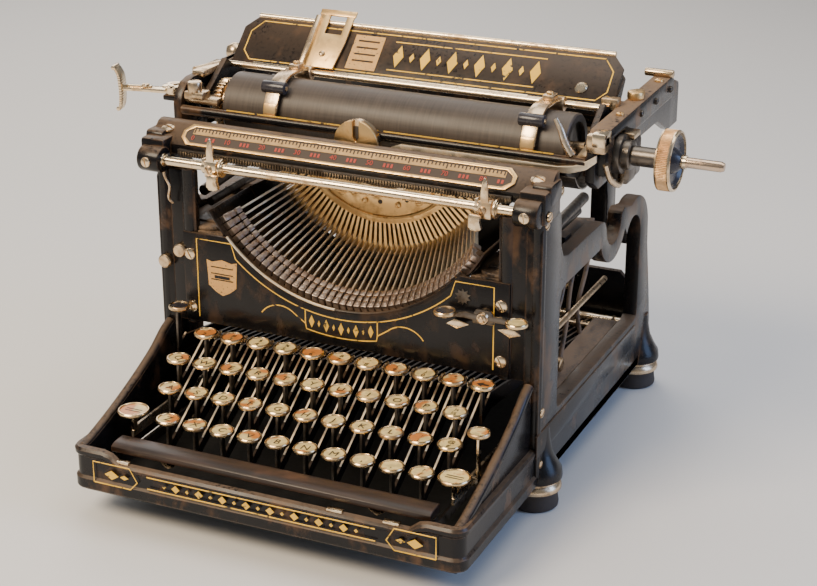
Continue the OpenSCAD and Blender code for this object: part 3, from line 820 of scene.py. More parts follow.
class TYPEWRITER_OT_front_plate(bpy.types.Operator):
    """Front plate with its gilt lines, and the two ribbon covers behind it"""
    bl_idname = "typewriter.front_plate"
    bl_label = "Front plate"

    def execute(self, context):
        plate = Blank().use("plate enamel")
        low = -math.degrees(math.acos(79.5 / 104))
        mouth = bow(0, PRINT_Z, 104, low, -180 - low, 40)
        outline = [(-112, 92), (112, 92), (112, 152.6), (mouth[0][0] + 2, 152.6), *mouth,
                   (mouth[-1][0] - 2, 152.6), (-112, 152.6)]
        plate.add(slab(2.5, outline, ease=0.6), on_front(-117.5))
        lip = [(u, -118.6, v) for u, v in bow(0, PRINT_Z, 104.6, low, -180 - low, 40)]
        plate.use("lever edge").add(tube(lip[21:], 0.9, 10), moved(0, -0.9, 0.9))
        plate.use("plate enamel").add(tube(lip, 1.5, 12))
        for x in (-107, 107):
            for z in (102, 138):
                screw_at(plate, (x, PLATE_Y + 0.2, z), (0, -1, 0), 3.7)
        for x, z in ((-114.5, 139), (-126, 130)):
            plate.use("nickel").add(lathe([(0, 0), (4.4, 0), (4.6, 1), (4.6, 3.4), (3.8, 4.4), (0, 4.6)],
                                          28), aim((x, -117.6, z), (0, -1, 0)))
        plate.done("front_plate_detail", "frame_body", "plate_enamel", "front_plate")
        lines = Blank()
        face = on_front(PLATE_Y)
        for side in (-1, 1):
            turn = math.degrees(math.asin(25 / 109.5))
            arc = bow(0, PRINT_Z, 109.5, -90 + side * turn, -90 + side * 42.5, 18)
            top = arc[-1]
            gilt_line(lines, [(side * 25, 104), *arc, (top[0] + side * 3, 149), (side * 102, 149),
                              (side * 102, 95.5)], face)
            hook = bow(side * 43, 97, 16, 90 - side * 55, 90 + side * 32, 12)
            gilt_line(lines, hook[::-1], face)
            gilt_line(lines, [(side * 25, 104), (side * 31, 108), hook[-1]], face)
        arc_low = bow(0, PRINT_Z, 122, -101.5, -78.5, 12)
        gilt_line(lines, [(-25, 104), *arc_low, (25, 104)], face)
        arc_top = bow(0, PRINT_Z, 109.5, -103, -77, 12)
        gilt_line(lines, arc_top, face)
        for i in range(9):
            turn = math.radians(-90 + (i - 4) * 2.55)
            u, v = 115.7 * math.cos(turn), PRINT_Z + 115.7 * math.sin(turn)
            wide, high = (1.9, 4.2) if i % 2 == 0 else (0.9, 2.2)
            lines.add(slab(0.35, diamond(u, v, wide, high)), face)
        shield = [(-95, 136), (-91, 135), (-84, 137), (-77, 135.4), (-73, 136.5), (-73.5, 128),
                  (-74, 119), (-79, 115), (-84, 112.6), (-89, 115), (-94, 119), (-94.4, 128)]
        lines.use("shield").add(slab(0.35, shield), face)
        lines.use("plate enamel")
        for v in (123, 127, 131.4):
            lines.add(slab(0.45, rectangle(-92, v, -76, v + 0.7)), face)
        lines.add(slab(0.5, rectangle(-89.5, 124.2, -78.5, 126.2)), face)
        lines.done("front_plate_gilding", "frame_body", "plate_enamel")
        covers = Blank().use("dusty enamel")
        leaf = curve_through([(86, -104), (92, -113), (106, -115), (119, -112), (121, -96), (120, -78),
                              (112, -62), (99, -58), (90, -68), (86, -86), (86, -104)], 4)[:-1]
        covers.add(slab(2.6, leaf, ease=0.9), moved(0, 0, 153), both=True)
        covers.add(slab(1.6, [(92, -106), (114, -106), (115, -72), (98, -66)], ease=0.7),
                   moved(0, 0, 155.4), both=True)
        covers.add(slab(3.4, rectangle(85, -116, 121, -48), ease=0.4), moved(0, 0, 149.6), both=True)
        covers.done("ribbon_covers", "frame_body", "black_enamel")
        return {"FINISHED"}


class TYPEWRITER_OT_top_bar(bpy.types.Operator):
    """Top bar with its line scale, rack, margin rod and end housings"""
    bl_idname = "typewriter.top_bar"
    bl_label = "Top bar and scale"

    def execute(self, context):
        bar = Blank().use("black enamel")
        section = [(-118.8, 203.2), (-119, 209.5), (-107.4, 220), (-104, 221), (-100.4, 220.6),
                   (-100, 203.2)]
        bar.add(slab(268, section, ease=0.7), on_side(-134))
        for side in (-1, 1):
            bar.add(rod((side * 117.8, *MARGIN_ROD), (side * 133.5, *MARGIN_ROD), 8.2, ease=1.4))
            bar.add(cube((side * 118.4, -127, 194), (side * 135.6, -101, 214), 2.2))
            bar.add(slab(12, rounded(-119.5, 203.6, -101, 216.6, 3, 4), ease=0.8),
                    on_side(123.9 if side > 0 else -135.9))
            screw_at(bar, (side * 124.5, -110.6, 216.4), (0, -0.3, 1), 4.4, "nickel", 70)
            screw_at(bar, (side * 126, -136.2, 201.5), (0, -1, 0), 3.2, "bright nickel", 10)
            screw_at(bar, (side * 135.8, -122, 199), (side, 0, 0), 3.2, "nickel")
        bar.done("top_bar_detail", "frame_body", "black_enamel", "top_bar")
        scale = Blank()
        lay = moved(0, -119.1, 210) @ Matrix.Rotation(math.atan2(10.2, 11.6), 4, "X")
        long = 15.2
        edge = [(-112, 5), (-107, 0), (107, 0), (112, 5), (112, long - 5), (107, long), (-107, long),
                (-112, long - 5)]
        inside = [(u * 0.978, long / 2 + (v - long / 2) * 0.76) for u, v in edge]
        scale.use("brass").add(slab(1.1, edge, [inside], ease=0.25), lay)
        scale.use("ink").add(slab(0.5, inside), lay)
        scale.use("scale strip").add(slab(0.75, rectangle(-105, 8.2, 105, 12.2)), lay)
        marks = [(i, -104 + i * 208 / 85) for i in range(86)]
        scale.use("ink")
        for i, x in marks:
            tall = 3.4 if i % 10 == 0 else 2.7 if i % 5 == 0 else 2
            scale.add(cube((x - 0.42, 12.4 - tall, 0.7), (x + 0.42, 12.4, 0.95)), lay)
        scale.use("red ink")
        for i, x in marks:
            if i % 10 == 0:
                scale.add(lettering(str(i), 4.6), lay @ moved(x, 5.4, 0.7))
            elif i % 10 in (4, 5, 6):
                scale.add(cube((x - 0.7, 4, 0.5), (x + 0.7, 6.6, 0.72)), lay)
        scale.done("line_scale", "frame_body", "nickel")
        rods = Blank().use("bright nickel")
        rods.add(rod((-118.5, *MARGIN_ROD), (118.5, *MARGIN_ROD), 3))
        for start in (-118.5, 117.2):
            rods.add(rod((start, *MARGIN_ROD), (start + 1.3, *MARGIN_ROD), 4.3, ease=0.5))
        rods.use("dark steel").add(cube((-112, -121.6, 203.6), (112, -119, 207.6), 0.3))
        for i in range(118):
            x = -109 + i * 218 / 117
            rods.add(cube((x - 0.45, -122.6, 203.4), (x + 0.45, -121, 206.6)))
        rods.done("margin_rod", "frame_body", "nickel", "fittings")
        hook = Blank().use("nickel")
        hook.add(tube(curve_through([(-120.5, -125, 196), (-120, -125, 190), (-117.4, -124, 183),
                                     (-119, -123, 175), (-117.6, -120.6, 171)], 5), 0.9, 10))
        hook.done("wire_hook", "frame_body", "nickel")
        return {"FINISHED"}


class TYPEWRITER_OT_margin_stops(bpy.types.Operator):
    """Two sliding margin stops with pointers and finger tabs"""
    bl_idname = "typewriter.margin_stops"
    bl_label = "Margin stops"

    def execute(self, context):
        for node, tab in (("margin_stop_left", 4), ("margin_stop_right", -4)):
            low, high = span(node)
            x = (low.x + high.x) / 2
            stop = Blank().use("bright nickel")
            stop.add(rod((x - 7, *MARGIN_ROD), (x + 7, *MARGIN_ROD), 4.6, ease=0.5))
            stop.add(cube((x - 4.2, -133.5, 196), (x + 4.2, -123, 206.6), 0.9))
            stop.add(cube((x - 6.6, -132, 198.6), (x - 4.6, -124, 207.4), 0.4))
            stop.add(rod((x + 5.1, *MARGIN_ROD), (x + 6.5, *MARGIN_ROD), 6, 24, ease=0.4))
            pointer = [(-2.6, 0), (2.6, 0), (2.2, 7), (1.5, 12), (0.6, 15.2), (-0.6, 15.2), (-1.6, 12),
                       (-2.4, 7)]
            stop.add(slab(1.7, pointer, ease=0.35), moved(x, -131.6, 205.8) @ on_front(0))
            stop.add(slab(3.4, [(-3.6, 0), (3.6, 0), (3, -4), (4.4, -8.5), (1, -10), (-4, -8)], ease=0.7),
                     moved(x + tab, -135.6, 199.6) @ on_front(0))
            stop.add(cube((x + tab - 3, -138.5, 189.8), (x + tab + 3, -134.4, 192), 0.7))
            screw_at(stop, (x - 1, -133.4, 201.4), (0, -1, 0), 2.4, "nickel")
            stop.done(node + "_detail", node, "nickel_steel", node)
        return {"FINISHED"}


# ---- Type basket ----

class TYPEWRITER_OT_type_basket(bpy.types.Operator):
    """Slotted segment, its plated crescent and the type bars at rest"""
    bl_idname = "typewriter.type_basket"
    bl_label = "Type basket"

    def execute(self, context):
        segment = Blank().use("brass")
        pitch = 2 * FAN / (BARS - 1)
        step = math.radians(pitch)
        segment.add(slab(28, band(64.5, 58.5, 60), ease=0.4), at_print(-34))
        tooth = [(-step * 43 + 0.95, -86), (step * 43 - 0.95, -86), (step * 32 - 0.75, -63.8),
                 (-step * 32 + 0.75, -63.8)]
        for i in range(BARS + 1):
            segment.add(slab(28.4, tooth), round_print((i - 0.5) * pitch - FAN) @ on_front(-33.8))
        for side in (-1, 1):
            near, far = -90 + side * (FAN + pitch), -90 + side * HALF
            segment.add(slab(28, [*bow(0, 0, 86, near, far, 3), *bow(0, 0, 62, far, near, 3)]),
                        at_print(-34))
        crescent = [*bow(0, 0, 61, -134, -46, 44), *bow(0, 8, 50, -38, -142, 44)]
        segment.add(slab(5, crescent, ease=0.7), at_print(-57))
        rim = [(u, -62.3, PRINT_Z + v) for u, v in bow(0, 0, 60.2, -86 - HALF, -94 + HALF, 50)]
        segment.add(tube(rim, 0.9, 8))
        for turn, radius, size in ((-30, 54, 2.6), (30, 54, 2.6), (-12, 51.5, 2), (14, 52, 2),
                                   (-22, 50, 1.5), (41, 55, 2.2), (-41, 55, 2.2)):
            screw_at(segment, round_print(turn) @ Vector((0, -61.8, -radius)), (0, -1, 0), size,
                     "brass", turn * 3)
        for turn, radius in ((0, 50), (-35, 52), (22, 50)):
            place = round_print(turn) @ Vector((0, -61.8, -radius))
            segment.use("ink").add(rod(place, place + Vector((0, -0.5, 0)), 1.5, 20))
        segment.use("black enamel").add(cube((50, -50, 151), (121, -38, 160), 1), both=True)
        # A dark plate behind the segment that makes its slots look deep: painted shade.
        segment.use("deep shade").add(slab(1.2, band(92, 58)), at_print(-32.6))
        segment.done("type_segment", "frame_body", "basket_brass", "type_basket")
        bars = Blank()
        run = math.hypot(35, 74)
        rest = moved(0, -38.1, -69) @ Matrix.Rotation(math.pi + math.atan2(35, 74), 4, "X")
        blade = [(-3, -2.4), (-3, 2.4), (12, 2.6), (30, 1.4), (56, 1.3), (run - 12, 2), (run - 6, 2.4),
                 (run - 6, -1.8), (run - 12, -1.2), (56, -1.3), (30, -1.6), (12, -2.4)]
        for i in range(BARS):
            place = round_print(i * pitch - FAN) @ rest
            bars.use("lever edge").add(slab(1.25, blade, ease=0.3), place @ on_side(-0.62))
            bars.use("slug steel")
            for wide, start, end, low, high, ease in ((1.9, 14, 9.6, -2.6, 3, 0.4),
                                                      (1.7, 8.4, 4.4, -3.2, 3.2, 0.4),
                                                      (2.1, 4.2, -0.6, -3, 3, 0.6),
                                                      (1.1, 4.6, 1.2, -3.3, 3, 0.3)):
                bars.add(cube((-wide, run - start, low), (wide, run - end, high), ease), place)
        bars.done("type_bars", "frame_body", "basket_brass")
        rest_pad = Blank().use("shaded enamel")
        rest_pad.add(slab(7, band(101.5, 97.5), ease=0.6), at_print(-103, 7.6))
        rest_pad.done("type_rest", "frame_body", "basket_brass")
        shield = Blank().use("shaded enamel")
        shield.add(slab(52, band(107.6, 106.4), ease=0.3), at_print(-65))
        # A dark plate that closes the gap between the segment and the shield: painted shade.
        shield.add(slab(1.2, band(107.6, 84), ease=0.3), at_print(-64))
        shield.done("basket_shield", "frame_body", "basket_brass")
        guide = Blank().use("brass")
        disc = [*bow(0, 0, 15, 98, 442, 44), (2, 4), (0, 1.4), (-2, 4)]
        guide.add(slab(2.4, disc, ease=0.5), moved(0, 0, 218) @ on_front(-94.4))
        guide.use("nickel").add(lathe([(14.9, 0), (14.9, 3.4), (14, 4), (11, 4), (11, 0), (14.9, 0)], 40),
                                aim((0, -94.5, 218), (0, 1, 0)))
        guide.use("dark steel").add(rod((0, -94.4, 218), (0, -90.8, 218), 11, 36, ease=0.5))
        guide.use("nickel").add(cube((-9, -99.8, 204), (9, -93, 212), 0.8))
        guide.add(cube((-19, -96, 211), (-13, -91.4, 214), 0.8))
        for x in (-8, 8):
            screw_at(guide, (x, -96.9, 214), (0, -1, 0), 1.6, "brass")
        guide.done("type_guide", "frame_body", "nickel")
        return {"FINISHED"}


class TYPEWRITER_OT_inner_works(bpy.types.Operator):
    """Rods, spools, mainspring drum, escape wheel, bell, rear rail and links inside the frame"""
    bl_idname = "typewriter.inner_works"
    bl_label = "Inner works"

    def execute(self, context):
        works = Blank().use("nickel")
        works.add(rod((-121, *FULCRUM), (121, *FULCRUM), 2, 24))
        works.add(rod((-121, -20, 149), (121, -20, 149), 3, 24))
        works.add(rod((-121, 55, 57), (121, 55, 57), 2, 24))
        works.add(cube((-126, 70, 186), (126, 78, 195), 0.8))
        for x in range(-112, 113, 28):
            works.add(rod((x, 74, 195), (x, 74, 195.6), 2.2, 16))
        works.done("rods_and_rail", "frame_body", "nickel")
        spools = Blank()
        for side in (-1, 1):
            spools.use("dark steel")
            for x in (97, 112):
                flange = lathe([(0, 0), (15.4, 0), (16, 0.6), (16, 1.2), (15.4, 1.8), (0, 1.8)])
                spools.add(flange, aim((side * x, *SPOOL), (side, 0, 0)))
            spools.use("ink").add(rod((side * 98, *SPOOL), (side * 112.5, *SPOOL), 12, 36))
            spools.use("nickel").add(rod((side * 96.4, *SPOOL), (side * 120, *SPOOL), 4, 24))
        spools.done("ribbon_spools", "frame_body", "nickel")
        drum = Blank().use("nickel")
        drum.add(lathe([(0, 0), (20, 0), (22, 1), (22, 12.6), (20.6, 14), (17, 14), (16, 13), (6, 13),
                        (5, 14.6), (0, 15)]), aim((-80, 90, 130), (0, 1, 0)))
        for i in range(6):
            x, z = -80 + 11 * math.cos(math.tau * i / 6), 130 + 11 * math.sin(math.tau * i / 6)
            drum.use("ink").add(rod((x, 103.1, z), (x, 103.5, z), 2.6, 18))
        wheel = toothed(28, (14, 0), (15, 0.35), (11.6, 0.5))
        drum.use("brass").add(slab(1.8, wheel), moved(0, 92, 128) @ on_front(0))
        drum.use("nickel").add(rod((0, 90, 128), (0, 94.6, 128), 4, 24, ease=0.5))
        drum.use("bright nickel").add(lathe([(0, 14), (2, 13.6), (9, 11.6), (15, 7), (17.6, 1.6), (18, 0),
                                             (16.8, 0), (14, 6), (8, 10.4), (0, 12.4)]),
                                      aim((60, 106, 74), (0, -1, 0)))
        drum.done("drive_and_bell", "frame_body", "nickel")
        links = Blank().use("dark steel")
        for side in (-1, 1):
            for k, (y0, y1, bulge) in enumerate(((-66, -40, 9), (-44, -14, -8), (-18, 12, 10),
                                                 (26, 46, -6))):
                x = side * (114 - 2.4 * k)
                path = curve_through([(x, y0, 64), (x, y0 + bulge, 86), (x, (y0 + y1) / 2, 108),
                                      (x, y1, 136)], 6)
                links.add(tube(path, 1.5, 10))
            links.use("nickel").add(rod((side * 112, -70, 92), (side * 112, 60, 92), 2, 16))
            links.add(rod((side * 108, -62, 70), (side * 116, -62, 70), 6, 24, ease=0.6))
            links.add(rod((side * 108, -34, 66), (side * 116, -34, 66), 4.6, 24, ease=0.6))
            links.use("dark steel").add(rod((side * 117, -84, 168), (side * 117, -5, 172), 3.6, 20,
                                            ease=0.6))
            links.add(rod((side * 112, -84, 161), (side * 112, -2, 161), 2.8, 20))
            links.use("dusty enamel").add(slab(2, [(104, -84), (121, -84), (121, 6), (108, 2),
                                                   (104, -30)], ease=0.4),
                                          (MIRROR if side < 0 else Matrix()) @ moved(0, 0, 153))
        links.use("dusty enamel").add(cube((104, -80, 57.6), (120.8, 66, 59.6), 0.4), both=True)
        links.done("side_links", "frame_body", "nickel")
        return {"FINISHED"}


# ---- Carriage ----

class TYPEWRITER_OT_carriage(bpy.types.Operator):
    """End plates, rear bar, front rail and line bar of the carriage"""
    bl_idname = "typewriter.carriage"
    bl_label = "Carriage"

    @staticmethod
    def end_outline():
        """The outline of the carriage's end plates."""
        return [(-88.5, 211), (-88.5, 226), (-86, 232), (-80, 238), (-72, 240), (48, 240), (58, 239),
                (79, 231), (80, 228), (80, 203), (60, 203), (36, 215), (-30, 215), (-40, 205.5), (-80, 205)]

    def execute(self, context):
        frame_part = Blank()
        slot = [*bow(PLATEN_Y, PLATEN_Z + 6, 4.2, 0, 180, 10), *bow(PLATEN_Y, PLATEN_Z, 4.2, 180, 360, 10)]
        for x in (END_RIGHT, END_LEFT - 6):
            frame_part.use("black enamel").add(slab(6, self.end_outline(), [slot], ease=0.9), on_side(x))
        hood = [(-84, 230), (-85, 238), (-80, 241.6), (46, 243.4), (50, 240), (46, 229), (-20, 228),
                (-50, 229.4), (-50, 234.4), (-70, 234.4), (-70, 230)]
        frame_part.use("rubbed enamel").add(slab(12, hood, ease=1.2), on_side(144.6))
        frame_part.use("black enamel").add(cube((146, -84, 214), (156, -66, 231), 1.4))
        frame_part.add(slab(3, [(-128.4, 54), (-134, 50), (-135.5, -60), (-128.4, -66)], ease=0.8),
                       moved(0, 0, 237))
        frame_part.add(cube((END_LEFT - 1, 68, 203), (END_RIGHT + 1, 80, 212), 1.2))
        frame_part.add(cube((-108, 79, 188), (125, 83, 212), 1))
        frame_part.add(rod((END_LEFT, -87, 222.5), (END_RIGHT, -87, 222.5), 2.6, 20))
        frame_part.add(cube((END_LEFT, -88.5, 219.4), (END_RIGHT, -86.5, 225.4), 0.6))
        for y in (-20, 10, 40):
            screw_at(frame_part, (156.5, y, 236), (1, 0, 0), 2.2, "dark steel")
            screw_at(frame_part, (-133.8, y, 228), (-1, 0, 0), 3, "nickel")
        screw_at(frame_part, (152, 30, 243), (0, 0, 1), 2.8, "brass")
        screw_at(frame_part, (152, -48, 242), (0, 0, 1), 2.4, "brass")
        frame_part.done("carriage_frame_detail", "carriage", "carriage_enamel", "carriage_frame")
        metal = Blank().use("bright nickel")
        low_bar = [(20, 216.6), (27, 219.4), (110, 219.4), (128, 219), (138, 220.6), (146, 224.5),
                   (152, 228.5), (152, 224), (146, 219), (136, 215.4), (27, 214.6)]
        metal.use("lever edge").add(slab(1.8, low_bar, ease=0.3), on_front(-87.6))
        # A gilt strip along the top edge of the black front rail: painted highlight.
        metal.use("gilt").add(slab(0.5, [(-95, 225.2), (125, 225.2), (125, 226), (-95, 226)]),
                              on_front(-87.6))
        metal.use("bright nickel")
        for x in (60, 84, 112):
            screw_at(metal, (x, -88.4, 215), (0, -1, 0), 1.7, "nickel")
        metal.use("bright nickel").add(cube((148.5, -89.4, 233), (157, -77, 241.6), 1.2))
        metal.use("nickel").add(cube((144.6, -84, 225), (153, -76, 233), 1))
        metal.use("brass").add(rod((150, -12, 242), (150, -12, 247.6), 5.2, 28, ease=1.4))
        metal.add(cube((146.6, -14, 242.4), (153.4, -2, 246.6), 1.4))
        metal.use("nickel").add(cube((145, -89, 229), (157, -80, 240.4), 1.6))
        metal.add(rod((139, 42, 245.4), (158, 42, 245.4), 2.6, 24, ease=0.8))
        metal.add(tube(curve_through([(156, -84, 222), (158, -80, 212), (160, -70, 206), (158, -60, 208),
                                      (156, -56, 216)], 5), 1.9, 12))
        metal.use("dark steel").add(cube((151, -58, 204), (163, -36, 229), 2.4))
        metal.add(cube((150, -46, 198), (158, -30, 210), 1.6))
        metal.add(rod((151.2, -60, 222), (160, -60, 222), 12, 36, ease=1.2))
        metal.use("nickel").add(cube((153, -52, 229), (163, -40, 232.6), 0.8))
        horn = curve_through([(124.5, -84, 246), (128.5, -85.6, 240), (131.5, -86.2, 233),
                              (136, -86.2, 226)], 6)
        for i, (x, y, z) in enumerate(horn[:-1]):
            metal.use("bar steel").add(rod((x, y, z), horn[i + 1], 1.5 + 0.09 * i, 14))
        metal.use("nickel").add(slab(1.6, [(112, 219), (140, 219), (146, 226), (150, 234), (146, 236),
                                           (139, 226), (112, 222.4)], ease=0.4), on_front(-84.6))
        metal.add(cube((-131, -84, 226), (-104, -76, 230.5), 1))
        metal.add(cube((-126, -88.4, 229.6), (-112, -78, 234.8), 1.2))
        metal.add(rod((-120, -84, 233), (-120, -84, 241), 4.6, 24, ease=1))
        metal.add(cube((-133, -66, 238), (-124, -34, 242.5), 1.2))
        metal.add(lathe([(0, -6), (4, -5.2), (6, -2), (6.4, 0), (6, 2), (4, 5.2), (0, 6)], 32),
                  aim((-143, 9, 236), (1, 0.2, 0)))
        metal.add(rod((-141, 9, 236), (-131, 6, 236), 2, 16))
        metal.add(rod((END_LEFT - 6, PLATEN_Y, 240.6), (END_LEFT + 2, PLATEN_Y + 22, 240.8), 2.6, 16))
        screw_at(metal, (-143, -78, 233), (0, 0, 1), 4.4, "bright nickel")
        metal.use("black enamel").add(cube((-147, -80, 224.2), (-127, -68, 227.8), 1))
        metal.use("nickel").add(rod((-141, -74, 227), (-141, -74, 235), 2.5, 20))
        metal.done("carriage_metal", "carriage", "nickel_steel")
        return {"FINISHED"}


class TYPEWRITER_OT_paper_table(bpy.types.Operator):
    """Sloping paper table with its rails, side guide, paper pan and side plates"""
    bl_idname = "typewriter.paper_table"
    bl_label = "Paper table"

    def execute(self, context):
        low, high = span("paper_table")
        left, right = low.x, high.x
        lay = moved(0, -30, 238) @ Matrix.Rotation(math.radians(43), 4, "X")
        table = Blank().use("plate enamel")
        face = [(left, 0), (right, 0), (right, 30), (right - 9, 40), (left + 9, 40), (left, 30)]
        table.add(slab(1.6, face, ease=0.4), lay)
        for side in (1, -1):
            x = right - 4 if side > 0 else left
            plate = [(-69, 208), (-69, 228), (-42, 246), (-31, 239.6), (-9, 256), (-4, 252), (-24, 224),
                     (-46, 208)]
            table.add(slab(4, plate, [ring(PLATEN_Y, PLATEN_Z, 4.15, 20)], ease=0.6), on_side(x))
        inner = bow(PLATEN_Y, PLATEN_Z, 23.2, -150, -40, 24)
        outer = bow(PLATEN_Y, PLATEN_Z, 24.2, -40, -150, 24)
        table.use("dark steel").add(slab(right - left - 9, inner + outer), on_side(left + 4.5))
        table.done("paper_table_panel", "lift_frame", "table_enamel", "paper_table")
        trim = Blank().use("bright nickel")
        trim.add(rod((left + 8, 0, 0), (right - 8, 0, 0), 2, 20), lay @ moved(0, 40, 0.8))
        trim.add(slab(1.2, rectangle(left + 16, -1, 86, 3.4), ease=0.3), lay @ moved(0, 0, 1.2))
        trim.add(rod((86, 0, 0), (right - 2, 0, 0), 1.7, 18), lay @ moved(0, 1.2, 2))
        trim.use("brass").add(slab(1.6, [(-71, 4), (-49, 4), (-47, 24), (-47, 47), (-52, 48), (-52, 30),
                                         (-64, 30), (-64, 48), (-71, 47)], ease=0.4), lay
                              @ moved(0, 0, 2.6))
        trim.add(slab(1.2, rectangle(-72, 44, -46, 48.4), ease=0.3), lay @ moved(0, 0, 3.2))
        trim.use("nickel").add(slab(5, rectangle(-73, 2, -69.6, 42), ease=0.4), lay @ moved(0, 0, 1.8))
        trim.use("bright nickel").add(lathe([(0, 0), (4, 0), (4, 0.8), (3, 1.6), (0, 1.8)], 28), lay
                                      @ moved(118, 13, 1.6))
        screw_at(trim, lay @ Vector((-60, 14, 4)), lay.to_3x3() @ Vector((0, 0, 1)), 2, "nickel")
        trim.use("nickel").add(cube((right - 6, -34, 240), (right + 5, -27, 247), 1))
        trim.done("paper_table_trim", "lift_frame", "nickel_steel")
        gold = Blank()
        border = [(left + 12, 5.4), (right - 12, 5.4), (right - 6, 12), (right - 6, 27), (right - 13, 35.6),
                  (left + 13, 35.6), (left + 6, 27), (left + 6, 12), (left + 12, 5.4)]
        gilt_line(gold, border, lay @ moved(0, 0, 1.65))
        gold.use("shield").add(slab(0.35, rectangle(-42, 7, -21, 33)), lay @ moved(0, 0, 1.6))
        gold.use("plate enamel")
        for v in (13, 18, 23, 28):
            gold.add(slab(0.45, rectangle(-39, v, -24, v + 1.2)), lay @ moved(0, 0, 1.62))
        for i in range(11):
            wide, high = (1.7, 3.6) if i % 2 else (3.6, 8.4)
            gold.use("gilt").add(slab(0.4, diamond(-8 + 9.4 * i, 20, wide, high)), lay @ moved(0, 0, 1.6))
        for end, v in ((88, 9.6), (91, 30.8)):
            gilt_line(gold, [(-13, v), (end, v)], lay @ moved(0, 0, 1.65))
        gold.done("paper_table_gilding", "lift_frame", "table_enamel")
        return {"FINISHED"}


class TYPEWRITER_OT_platen(bpy.types.Operator):
    """Rubber roller with its core, shaft, ratchet wheel and knurled knob"""
    bl_idname = "typewriter.platen"
    bl_label = "Roller and knob"

    def execute(self, context):
        along = moved(0, PLATEN_Y, PLATEN_Z) @ Matrix.Rotation(math.pi / 2, 4, "Y")
        roller = Blank().use("roller rubber")
        roller.add(lathe([(16, -102.5), (20.2, -102.5), (21, -101.7), (21, 128.7), (20.2, 129.5),
                          (16, 129.5), (16, -102.5)], 96), along)
        roller.done("roller_cover", "platen_roller", "platen_rubber", "platen")
        metal = Blank().use("nickel")
        metal.use("dark steel").add(lathe([(0, -102.2), (16, -102.2), (16, 127), (12, 126.4), (0, 126)],
                                          64), along)
        metal.use("nickel").add(lathe([(0, -136), (4, -136), (4, 184), (0, 184)], 32), along)
        teeth = toothed(32, (14.2, 0), (16, 0.4), (14.2, 0.75))
        metal.use("nickel").add(slab(5, teeth, ease=0.2), along @ moved(0, 0, -113.5))
        metal.add(lathe([(0, -108.5), (11, -108.5), (12.5, -107.5), (12.5, -105), (9, -103), (0, -103)],
                        40), along)
        metal.use("dark steel").add(lathe([(0, 157), (8.4, 157), (9, 158), (9, 164), (8.4, 165),
                                           (6, 165.5), (6, 183), (0, 183)], 40), along)
        metal.use("shaft steel").add(lathe([(0, 190), (3.2, 190), (3.2, 218.6), (2.4, 220.6), (0, 221)],
                                           28), along)
        metal.use("bright nickel").add(lathe([(3, 195), (4.2, 195), (4.2, 198), (3, 198), (3, 195)],
                                             28), along)
        metal.done("roller_metal", "platen_roller", "nickel_steel")
        knob = Blank().use("dark face")
        knob.add(lathe([(0, 183), (9, 183), (16.4, 183.4), (16.8, 184), (16.8, 191.4), (15.4, 191.8),
                        (13.6, 190), (8, 189.4), (7.4, 190.4), (6, 193), (3.6, 195.2), (0, 195.6)],
                       64), along)
        ridges = toothed(110, (17.9, 0), (18.35, 0.5))
        knob.use("knurled nickel").add(slab(7, ridges, [ring(0, 0, 16.6, 48)]), along @ moved(0, 0, 184))
        knob.use("bright nickel").add(lathe([(16.6, 190.6), (18.2, 190.6), (18.5, 191.4), (18, 192.4),
                                             (16.8, 192.6), (16.6, 190.6)], 64), along)
        knob.add(lathe([(16.6, 183), (18.2, 183.2), (18.5, 184.2), (16.6, 184.4), (16.6, 183)], 64), along)
        knob.done("roller_knob", "platen_roller", "nickel_steel")
        return {"FINISHED"}


class TYPEWRITER_OT_return_lever(bpy.types.Operator):
    """Line-space lever at the carriage's left, with its curled tip"""
    bl_idname = "typewriter.return_lever"
    bl_label = "Return lever"

    def execute(self, context):
        lever = Blank().use("bright nickel")
        lever.add(lathe([(2.8, 0), (6, 0), (6.4, 0.8), (6.4, 5.2), (5.4, 6), (2.8, 6), (2.8, 0)], 40),
                  moved(*LEVER_PIVOT, 228.4))
        turn = moved(*LEVER_PIVOT, 228.3) @ Matrix.Rotation(math.radians(12), 4, "Z")
        arm = [(-4, -4), (-12, -3.4), (-26, -2.6), (-36, -3.6), (-37, 3.2), (-26, 3.4), (-12, 4.4), (-4, 4)]
        lever.add(slab(2.6, arm, ease=0.6), turn)
        lever.add(slab(1.4, [(-16, -1.4), (-33, -1.2), (-33, 1.4), (-16, 2)], ease=0.4), turn
                  @ moved(0, 0, 2.4))
        strip = curve_through([(-37.4, 0, -12), (-36.4, 0, -8), (-36, 0, 0), (-36.6, 0, 9),
                               (-38.4, 0, 13.4), (-40, 0, 15.6)], 5)
        for i in range(len(strip) - 1):
            (x0, _, z0), (x1, _, z1) = strip[i], strip[i + 1]
            wide = 5.2 - 0.9 * abs(i - len(strip) / 2) / (len(strip) / 2)
            link = [(x0 - 0.9, z0), (x0 + 0.9, z0), (x1 + 0.9, z1), (x1 - 0.9, z1)]
            lever.add(slab(2 * wide, link, ease=0.15), turn @ moved(0, wide, 0) @ on_front(0))
        for x, y, z in ((-40.2, 4.6, 15.2), (-38.2, 4.4, -12)):
            lever.add(rod((x, -y, z), (x, y, z), 1.5, 16, ease=0.4), turn)
        screw_at(lever, turn @ Vector((-20, 0, 3.4)), (0, 0, 1), 2.6, "nickel")
        lever.done("return_lever_detail", "return_lever", "nickel_steel", "return_lever")
        return {"FINISHED"}


